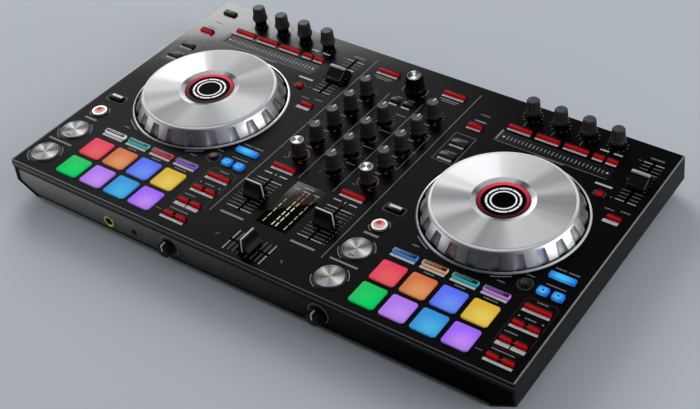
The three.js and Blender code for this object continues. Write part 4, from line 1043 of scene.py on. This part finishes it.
# The metal top's colour carries painted reflections: a bright cross of wedges between dark ones.
filter_metal = turned_metal("filter_top_painted_reflection", [
    (0, 30), (40, 25), (62, 40), (100, 60), (116, 240), (140, 250), (160, 90), (190, 25), (228, 30), (250, 90),
    (268, 230), (300, 250), (322, 180), (340, 50)], 40.0, 0.35, 0.4)
for material in (filter_metal, chamfer_painted_light):
    filter_top.data.materials.append(material)
BRIGHT_RIM = 5.5
for face in filter_top.data.polygons:
    face.material_index = int(math.hypot(face.center.x, face.center.y) > BRIGHT_RIM * MM)
dark_red = lit("ring_dark_red", (120, 16, 34), 0.25)
foot_and_grip = (("foot", mixer_foot, knob_gloss), ("grip", mixer_grip, knob_soft))
pointer = ("pointer", mixer_pointer, line_white)
filter_parts = (*foot_and_grip, ("top", filter_top, None), pointer)
mixer_parts = (*foot_and_grip, ("crown", mixer_crown, knob_crown), pointer)
names = [f"{side}_{kind}_knob" for side, x in DECKS for kind in ("trim", "high", "mid", "low", "filter")]
for node in names + ["master_level_knob", "booth_level_knob", "cue_mix_knob", "sampler_level_knob"]:
    spot = on_stem(node, filter_parts if "filter" in node else mixer_parts)
    if "filter" in node:
        fit(copy_to(red_ring, spot), f"{node}_light", dark_red)


# The effect knobs stand taller on a narrow black neck. The dark-grey grip is fluted up to its crown and flares down
# to a broad skirt.

fx_neck = turned([(3.1, 0.8), (6.0, 0.8), (6.2, 1.1), (6.2, 5.0), (3.1, 5.0), (3.1, 0.8)], 40, closed=True)
fx_grip = fluted([(3.1, 4.6), (6.8, 4.6), (7.8, 5.2), (8.0, 6.2), (8.0, 7.6), (7.6, 8.6), (7.1, 10.0), (6.4, 18.2),
                  (6.3, 19.0), (5.9, 19.35)], 7.9, 19.2, 0.9)
fx_crown = fluted([(3.1, 19.1), (5.6, 19.2), (6.0, 19.4), (5.7, 19.8), (5.2, 19.95), (3.0, 19.85)],
                  19.15, 19.9, 0.9)
fx_grey = moulded("effect_knob_grey", (60, 57, 55), 0.5, grain_size=2400, drift=0.2, specular=0.2)
fx_parts = (("neck", fx_neck, knob_gloss), ("grip", fx_grip, fx_grey), ("crown", fx_crown, knob_crown))
for node in [f"{side}_fx_knob_{number}" for side, x in DECKS for number in (1, 2, 3, 4)]:
    on_stem(node, fx_parts)


# The browse knob is a wide fluted black grip with a dished chrome cap let into its top; it also pushes down.

browse_grip = fluted([(3.1, 0.8), (10.1, 0.8), (10.4, 1.1), (10.4, 3.4), (9.9, 4.2), (9.3, 5.2), (8.6, 16.4),
                      (8.3, 17.4), (7.6, 18.0)], 4.0, 17.0, 0.92, 56)
browse_cap = turned([(3.0, 17.6), (7.5, 17.8), (7.6, 18.4), (7.2, 18.9), (6.6, 19.0), (6.0, 18.7), (3.4, 18.3),
                     (1.0, 18.25)], 56)
# The chrome cap has the same painted reflections as the filter tops.
on_stem("browse_knob", (("grip", browse_grip, knob_gloss), ("cap", flat_map(browse_cap, 15.2), filter_metal)))


# The two front knobs are short black knobs on the fascia, with a white pointer up the side and down the face.
# The headphone socket beside them has a gold-plated nut, and the small socket a black ring.

front_grip = fluted([(3.1, 0.9), (7.8, 0.9), (8.0, 1.2), (8.0, 3.8), (7.5, 4.3), (7.3, 5.0), (6.9, 8.4), (6.6, 9.1),
                     (6.1, 9.35)], 4.2, 8.8, 0.94)
front_pointer = loose(slab(1.5, 6.4, 9.2, 9.44, edge=0.1, y=3.4))
front_side_mark = loose(slab(1.5, 0.6, 4.2, 9.1, edge=0.1, y=7.2))
stub = turned([(3.0, -6.0), (3.0, 1.2)], 24)
front_ink = moulded("front_ink", (150, 150, 149), 0.5, grain_size=1500, drift=0.1)
front_arc = ring_arc(10.0, 10.7, 0.0, 0.12, [(270, 80)], 72)
front_words = loose(ink(words(0, 12.4, 13)))
jack_words = loose(ink(words(0, 9.0, 9)))
FASCIA_REACH = 9.4  # from the face of a front knob's CAD node back to the fascia
SOCKET_DROP = -28
front_parts = (("pointer", front_pointer, line_white), ("side_mark", front_side_mark, line_white),
               ("shaft", stub, steel))
for node in ("phones_level_knob", "mic_level_knob"):
    low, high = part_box(node)
    spot = Vector(((low[0] + high[0]) / 2, low[1] + FASCIA_REACH * MM, (low[2] + high[2]) / 2))
    fit(copy_to(front_grip, spot, facing_front), f"{node}_grip", fader_black, node, [node])
    for part, template, material in front_parts:
        fit(copy_to(template, spot, facing_front), f"{node}_{part}", material, node)
    for part, template in (("arc", front_arc), ("words", front_words)):
        fit(copy_to(template, spot, facing_front), f"{node}_{part}", front_ink)
fascia_y = low[1] / MM + FASCIA_REACH - MIDDLE_Y
for x in (-157, -133):
    place = at(x, fascia_y, SOCKET_DROP)
    fit(copy_to(jack_words, place, facing_front), f"socket_words_{-x}", front_ink)
for x in (-106, -92, -74, -58, -30, -14, 30, 46, 86, 104, 168, 198):
    on_back(jack_words, x, f"rear_words_{x}", front_ink)
keep_node("headphone_jacks", socket_black, 0.1)
gold = moulded("gold_plate", (226, 222, 110), 0.35, drift=0.15, metallic=0.5)
phone_nut = turned([(3.5, 0.0), (6.1, 0.0), (6.2, 0.3), (5.9, 1.2), (4.4, 1.2), (4.0, 0.7), (3.5, 0.7), (3.5, 0.0)],
                   36, closed=True)
mini_ring = turned([(1.9, 0.0), (3.0, 0.0), (3.0, 0.4), (2.7, 0.6), (2.1, 0.6), (1.9, 0.4), (1.9, 0.0)], 28,
                   closed=True)
for name, template, x, material in (("headphone_nut", phone_nut, -157, gold),
                                    ("mini_socket_ring", mini_ring, -126.5, socket_black)):
    place = at(x, fascia_y - 0.02, SOCKET_DROP)
    fit(copy_to(template, place, facing_front), name, material)


# The level meter is a smoky acrylic window, flush with the panel, over four columns of lamps. The room's reflection
# at its back end is painted into the glass's colour, which clears to black towards the front.

smoky, tree, shader = new_material("smoky_window", ("Roughness", 0.14), ("IOR", 1.01), ("Specular IOR Level", 0.0))
x, y = parts_of(here(tree), "XY")
slant = put(tree, "MapRange", [("Value", y + x * -0.92), ("From Min", -0.079), ("From Max", -0.031)])
painted_reflection_shades = ((0.0, (9, 15, 9)), (0.05, (54, 52, 46)), (0.3, (60, 59, 54)), (0.45, (70, 68, 64)), (0.65, (116, 116, 113)),
         (0.8, (132, 133, 132)))
wire(shader, [("Base Color", ramp(tree, Field(slant), [(place, srgb(*shade)) for place, shade in painted_reflection_shades]))])
keep_node("meter_window", smoky, 0.1)
lamp_rows = [-105.0 + 7.4 * number for number in range(7)]
lamp_columns = ((-11.3, 0.6), (-1.5, 1.1), (2.8, 1.1), (12.2, 0.6))
for name, rows, tint, glow in (("low", lamp_rows[:4], (202, 208, 160), 0.45),
                               ("mid", lamp_rows[4:5], (190, 158, 96), 0.35),
                               ("high", lamp_rows[5:], (140, 50, 50), 0.3)):
    lamps = ink([(x, y, width, 5.4) for x, width in lamp_columns for y in rows], z=-0.2)
    fit(lamps, f"meter_lamps_{name}", lit(f"meter_{name}", tint, glow))
meter_print = words(0, -53, 11) + words(-11, -57.5, 6) + words(11, -57.5, 6) + [(0, -57.5, 8, 0.7)]
window_ink = moulded("window_ink", (190, 190, 186), 0.5)
fit(ink(meter_print, z=-0.2), "meter_print", window_ink)


# The deck print is white and red ink, screen-printed on the panel round each jog: bars under the keys, small words,
# scales beside the faders, and thin frames round the groups of keys. Both decks have the same print.


def frame_lines(x0, y0, x1, y1, width, corner=0.0):
    """The four sides of a printed frame, and its cut corners."""
    across, along = x1 - x0 - 2 * corner, y1 - y0 - 2 * corner
    lines = [((x0 + x1) / 2, y, across, width) for y in (y0, y1)]
    lines += [(x, (y0 + y1) / 2, width, along) for x in (x0, x1)]
    if corner:
        half, length = corner / 2, corner * math.sqrt(2)
        lines += [(x0 + half, y0 + half, length, width, -45), (x1 - half, y0 + half, length, width, 45),
                  (x0 + half, y1 - half, length, width, 45), (x1 - half, y1 - half, length, width, -45)]
    return lines


def ticks_round(x, y, inner, outer, width, degrees):
    """Short lines that point at a middle."""
    marks, reach = [], (inner + outer) / 2
    for angle in degrees:
        across, along = reach * math.cos(math.radians(angle)), reach * math.sin(math.radians(angle))
        marks.append((x + across, y + along, outer - inner, width, angle))
    return marks


def printed(marks, arcs):
    """Flat marks and arcs in one piece, for print and for painted highlights; each arc is (x, y, radius, width) and
    two angles that it runs between.
    """
    pieces = [ink(marks)]
    for x, y, radius, width, begin, end in arcs:
        sweep = (end - begin) % 360
        gap = (begin + sweep / 2 + 180, 360 - sweep)
        sides = max(36, int(radius * 6))
        pieces.append(copy_to(ring_arc(radius - width / 2, radius + width / 2, -0.05, 0.07, [gap], sides), at(x, y)))
    return join(pieces)


white_ink = moulded("white_ink", (205, 205, 203), 0.5, grain_size=1500, drift=0.1, bump=0.02)
soft_ink_and_painted_highlight = moulded("soft_white_ink_and_painted_highlight", (134, 134, 133), 0.5, grain_size=1500, drift=0.2, bump=0.02)
red_ink = moulded("red_ink", (58, 14, 18), 0.5, grain_size=1500, drift=0.2, bump=0.02)
LAST = COLUMNS[3]
TEMPO_SCALE = (80.7, 92.6)
tempo_rows = [132.5 - 4.95 * number for number in range(13)]
bright = [(dx, -86.0, 24.6, 3.0) for dx in COLUMNS] + [(dx, 113.2, 24.6, 2.4) for dx in COLUMNS[:3]]
for pair_x, y, width, depth in ((LAST, 113.2, 10.5, 2.4), (LOOP_X, -127.4, 12.8, 4.0), (LAST, 129, 9.0, 2.2)):
    bright += [(pair_x + dx, y, width, depth) for dx in PAIR]
bright += [(LOOP_X, -86.0, 25.5, 3.0), (LOOP_X, -106.3, 26.5, 2.8), (LOOP_X, -147.2, 26.5, 2.8),
           (86.7, 42.7, 15.0, 4.0), (59.7, 84.0, 17.0, 2.4), (SIDE_X, 96.0, 15.0, 2.2), (SIDE_X, 65.5, 15.0, 2.4),
           (SIDE_X, 44.2, 15.0, 2.8), (-54.7, STRIP_Y, 0.1, 0.1)]
bright += [(dx, y, 8.6, 0.8) for y in (tempo_rows[0], tempo_rows[6], tempo_rows[-1]) for dx in TEMPO_SCALE]
soft = []
for line in ((COLUMNS[1], -90.3, 11), (COLUMNS[2], -90.3, 10), (LAST, -90.3, 14), (LOOP_X, -73.5, 10),
             (LOOP_X, -93.7, 11), (LOOP_X - 7, -113.4, 12), (LOOP_X - 2, -134.5, 21), (78.0, -30.5, 10, 1.6),
             (90.5, -30.5, 10, 1.6),
             (LOOP_X, -51.0, 18), (60, -49.5, 8), (87.1, 140.1, 14, 1.8), (78.6, 57.5, 9), (93.1, 60.0, 9),
             (SIDE_X, 120.0, 10), (SIDE_X, 76.6, 12), (SIDE_X, 56.0, 12), (0, 91.0, 30, 1.2), (41.2, -67.7, 7),
             (-43.8, -67.0, 7)):
    soft += words(*line)
soft += [(LOOP_X + dx, -93.7, 1.6, 1.6, 45) for dx in (-11, 11)] + [(LOOP_X, y, 2.2, 0.6) for y in LOOP_ROWS]
soft += [(dx, y, 8.2, 0.55) for y in tempo_rows[1:-1] for dx in TEMPO_SCALE]
soft += [(63.7, -141.0, 7.0, 0.5), (74.2, 102.7, 1.3, 1.3), (72.6, 72.7, 1.3, 1.3), (72.9, 132.6, 3.0, 0.6),
         (55.5, 71.6, 0.6, 3.2), (67.5, 71.6, 0.6, 3.2), (SIDE_X + 0.3, 109.5, 12.0, 2.0), (SIDE_X, -74.5, 15.0, 2.4),
         (SIDE_X, -115.5, 29.0, 2.0), (-1.3, 92.5, 119.0, 0.5)]
soft += [(dx - 0.7, 127.6, 0.5, 7.2) for dx in COLUMNS[:3]]
soft += ticks_round(*BLACK_BUTTON, 6.2, 7.4, 0.45, range(0, 360, 15))
for dx in COLUMNS:
    soft += ticks_round(dx, 142.0, 9.4, 10.6, 0.9, range(-60, 241, 30))
soft += frame_lines(-96.8, 40.3, -74.2, 84.0, 0.45) + frame_lines(-96.3, -42.5, -75.4, -31.9, 0.45, 1.5)
arcs = [(0, JOG_Y, 80.2, 1.0, -67.6, -55.3), (0, JOG_Y, 80.2, 1.0, 232, 246)]
# Painted highlights: the arcs round the cue, play and sync buttons stand for the highlights of the grooves round them,
# and are drawn in the soft ink.
arcs += [(SIDE_X, y, 16.4, 0.8, *span) for y in (CUE_Y, PLAY_Y) for span in ((12, 62), (195, 250))]
arcs += [(SIDE_X, SYNC_Y, 9.6, 0.7, *span) for span in ((15, 65), (200, 250))]
arcs += [(*RED_BUTTON, 6.0, 0.5, *span) for span in ((150, 210), (-30, 30))]
on_decks(loose(ink(bright)), 0, 0, "@_deck_print_white", white_ink)
on_decks(loose(printed(soft, arcs)), 0, 0, "@_deck_print_soft", soft_ink_and_painted_highlight)
red_frame = loose(ink(frame_lines(68.9, -131.5, 98.9, -71.5, 0.4, 3.0)))
on_decks(red_frame, 0, 0, "@_deck_print_red", red_ink)


# The mixer print is the same white ink: long divider lines, the scales of the faders, marks round the knobs and
# the bars under the keys.

KNOB_ROWS = (93.4, 65.6, 37.8, 10.0, -17.8)
fader_rows = [-61.5 - 4.4 * number for number in range(11)]
FADER_SCALE = (-7.8, 6.8)
bright = [(x, y, 24.4, 2.6) for x in CHANNELS for y in (128.5, -44.6)] + [(x, 91.4, 9.4, 2.2) for x in CENTRE_KEYS]
soft = [(x, 13.0, 0.7, 266.0) for x in (-61.9, 61.9)] + [(x, 30.0, 0.7, 150.0) for x in (-19.5, 19.5)]
for x in CENTRE_KEYS:
    soft += words(x, 104.0, 8)
for x in CHANNELS:
    soft += words(x, 123.4, 22, 1.6) + words(x, 120.6, 16)
    for y in KNOB_ROWS[:4]:
        soft += words(x + 1, y - 13.5, 6) + [(x + 7.6, y - 10.2, 2.6, 0.6), (x - 7.6, y - 10.2, 1.8, 0.6)]
        soft += ticks_round(x, y, 9.9, 10.9, 0.6, range(-45, 226, 27))
    soft += [(x - 9.2, -27.0, 3.4, 0.7), (x + 8.2, -27.0, 3.4, 0.7), (x - 0.8, -115.5, 26.0, 2.2)]
    soft += [(x + dx, y, 11.0, 0.5) for y in fader_rows[1:-1] for dx in FADER_SCALE]
    soft += [(x + math.copysign(15.2, x), y, 0.9, 0.9) for y in fader_rows]
    bright += [(x - 9.3, -52.0, 8.6, 1.2), (x + 7.7, -52.0, 8.6, 1.2), (x - 0.8, -52.0, 0.8, 2.6)]
    bright += [(x + dx, y, 12.0, 0.8) for y in (fader_rows[0], fader_rows[-1]) for dx in FADER_SCALE]
for y, width in ((79.5, 12), (51.5, 14), (23.5, 12), (-4.5, 10)):
    soft += words(10.5, y, width)
for y in KNOB_ROWS[1:]:
    soft += ticks_round(0, y - 0.2 if y < 0 else y, 9.9, 10.9, 0.6, range(-45, 226, 27))
    soft += [(3.0, y - 11.5, 2.4, 0.6), (-7.4, y - 10.0, 1.8, 0.6)]
soft += [(53.0, 38.5, 0.5, 57.0), (53.0, 38.0, 3.0, 1.2), (51.7, 67.0, 3.0, 0.5), (51.7, 10.0, 3.0, 0.5)]
soft += [(x, y, 0.55, 11.0) for x in (-15, -10, -4.5, 4.5, 10, 15) for y in (-133.6, -146.6)]
bright += [(x, y, 0.9, 11.5) for x in (-20, 20) for y in (-133.1, -147.3)]
soft += [(-35, -140, 2.6, 0.6, 40), (35, -140, 2.6, 0.6, -40), (-36, -141.2, 0.6, 2.6), (36, -141.2, 0.6, 2.6)]
arcs = [(0, 121.0, 13.2, 0.7, *span) for span in ((150, 210), (-30, 30))]
arcs += [(0, y, 12.2, 0.5, -40, 0) for y in KNOB_ROWS[1:4]]
fit(ink(bright), "mixer_print_white", white_ink)
fit(printed(soft, arcs), "mixer_print_soft", soft_ink_and_painted_highlight)


# The controller stands on four soft rubber feet, pressed into rings of the base. Eight countersunk steel screws
# hold the base to the case.

rubber = moulded("soft_rubber", (38, 38, 38), 0.85, grain_size=1200, bump=0.15)
foot = turned([(9.6, 0.05), (10.9, 0.35), (11.15, 1.0), (11.15, 2.45), (9.6, 2.45), (9.6, 1.2), (9.6, 0.05)], 48,
              closed=True)
screw = turned([(2.9, 2.42), (2.9, 2.6), (1.2, 2.6), (0.9, 2.9)], 24)
for name, template, material, columns, row in (("rubber_foot", foot, rubber, (-223.5, 223.5), 136),
                                               ("base_screw", screw, steel, (-160, -55, 55, 160), 143)):
    for number, (x, y) in enumerate([(x, y) for x in columns for y in (-row, row)], 1):
        fit(copy_to(template, at(x, y, -PANEL_Z)), f"{name}_{number}", material)


# The templates have served.

for template in templates:
    mesh = template.data
    bpy.data.objects.remove(template)
    bpy.data.meshes.remove(mesh)
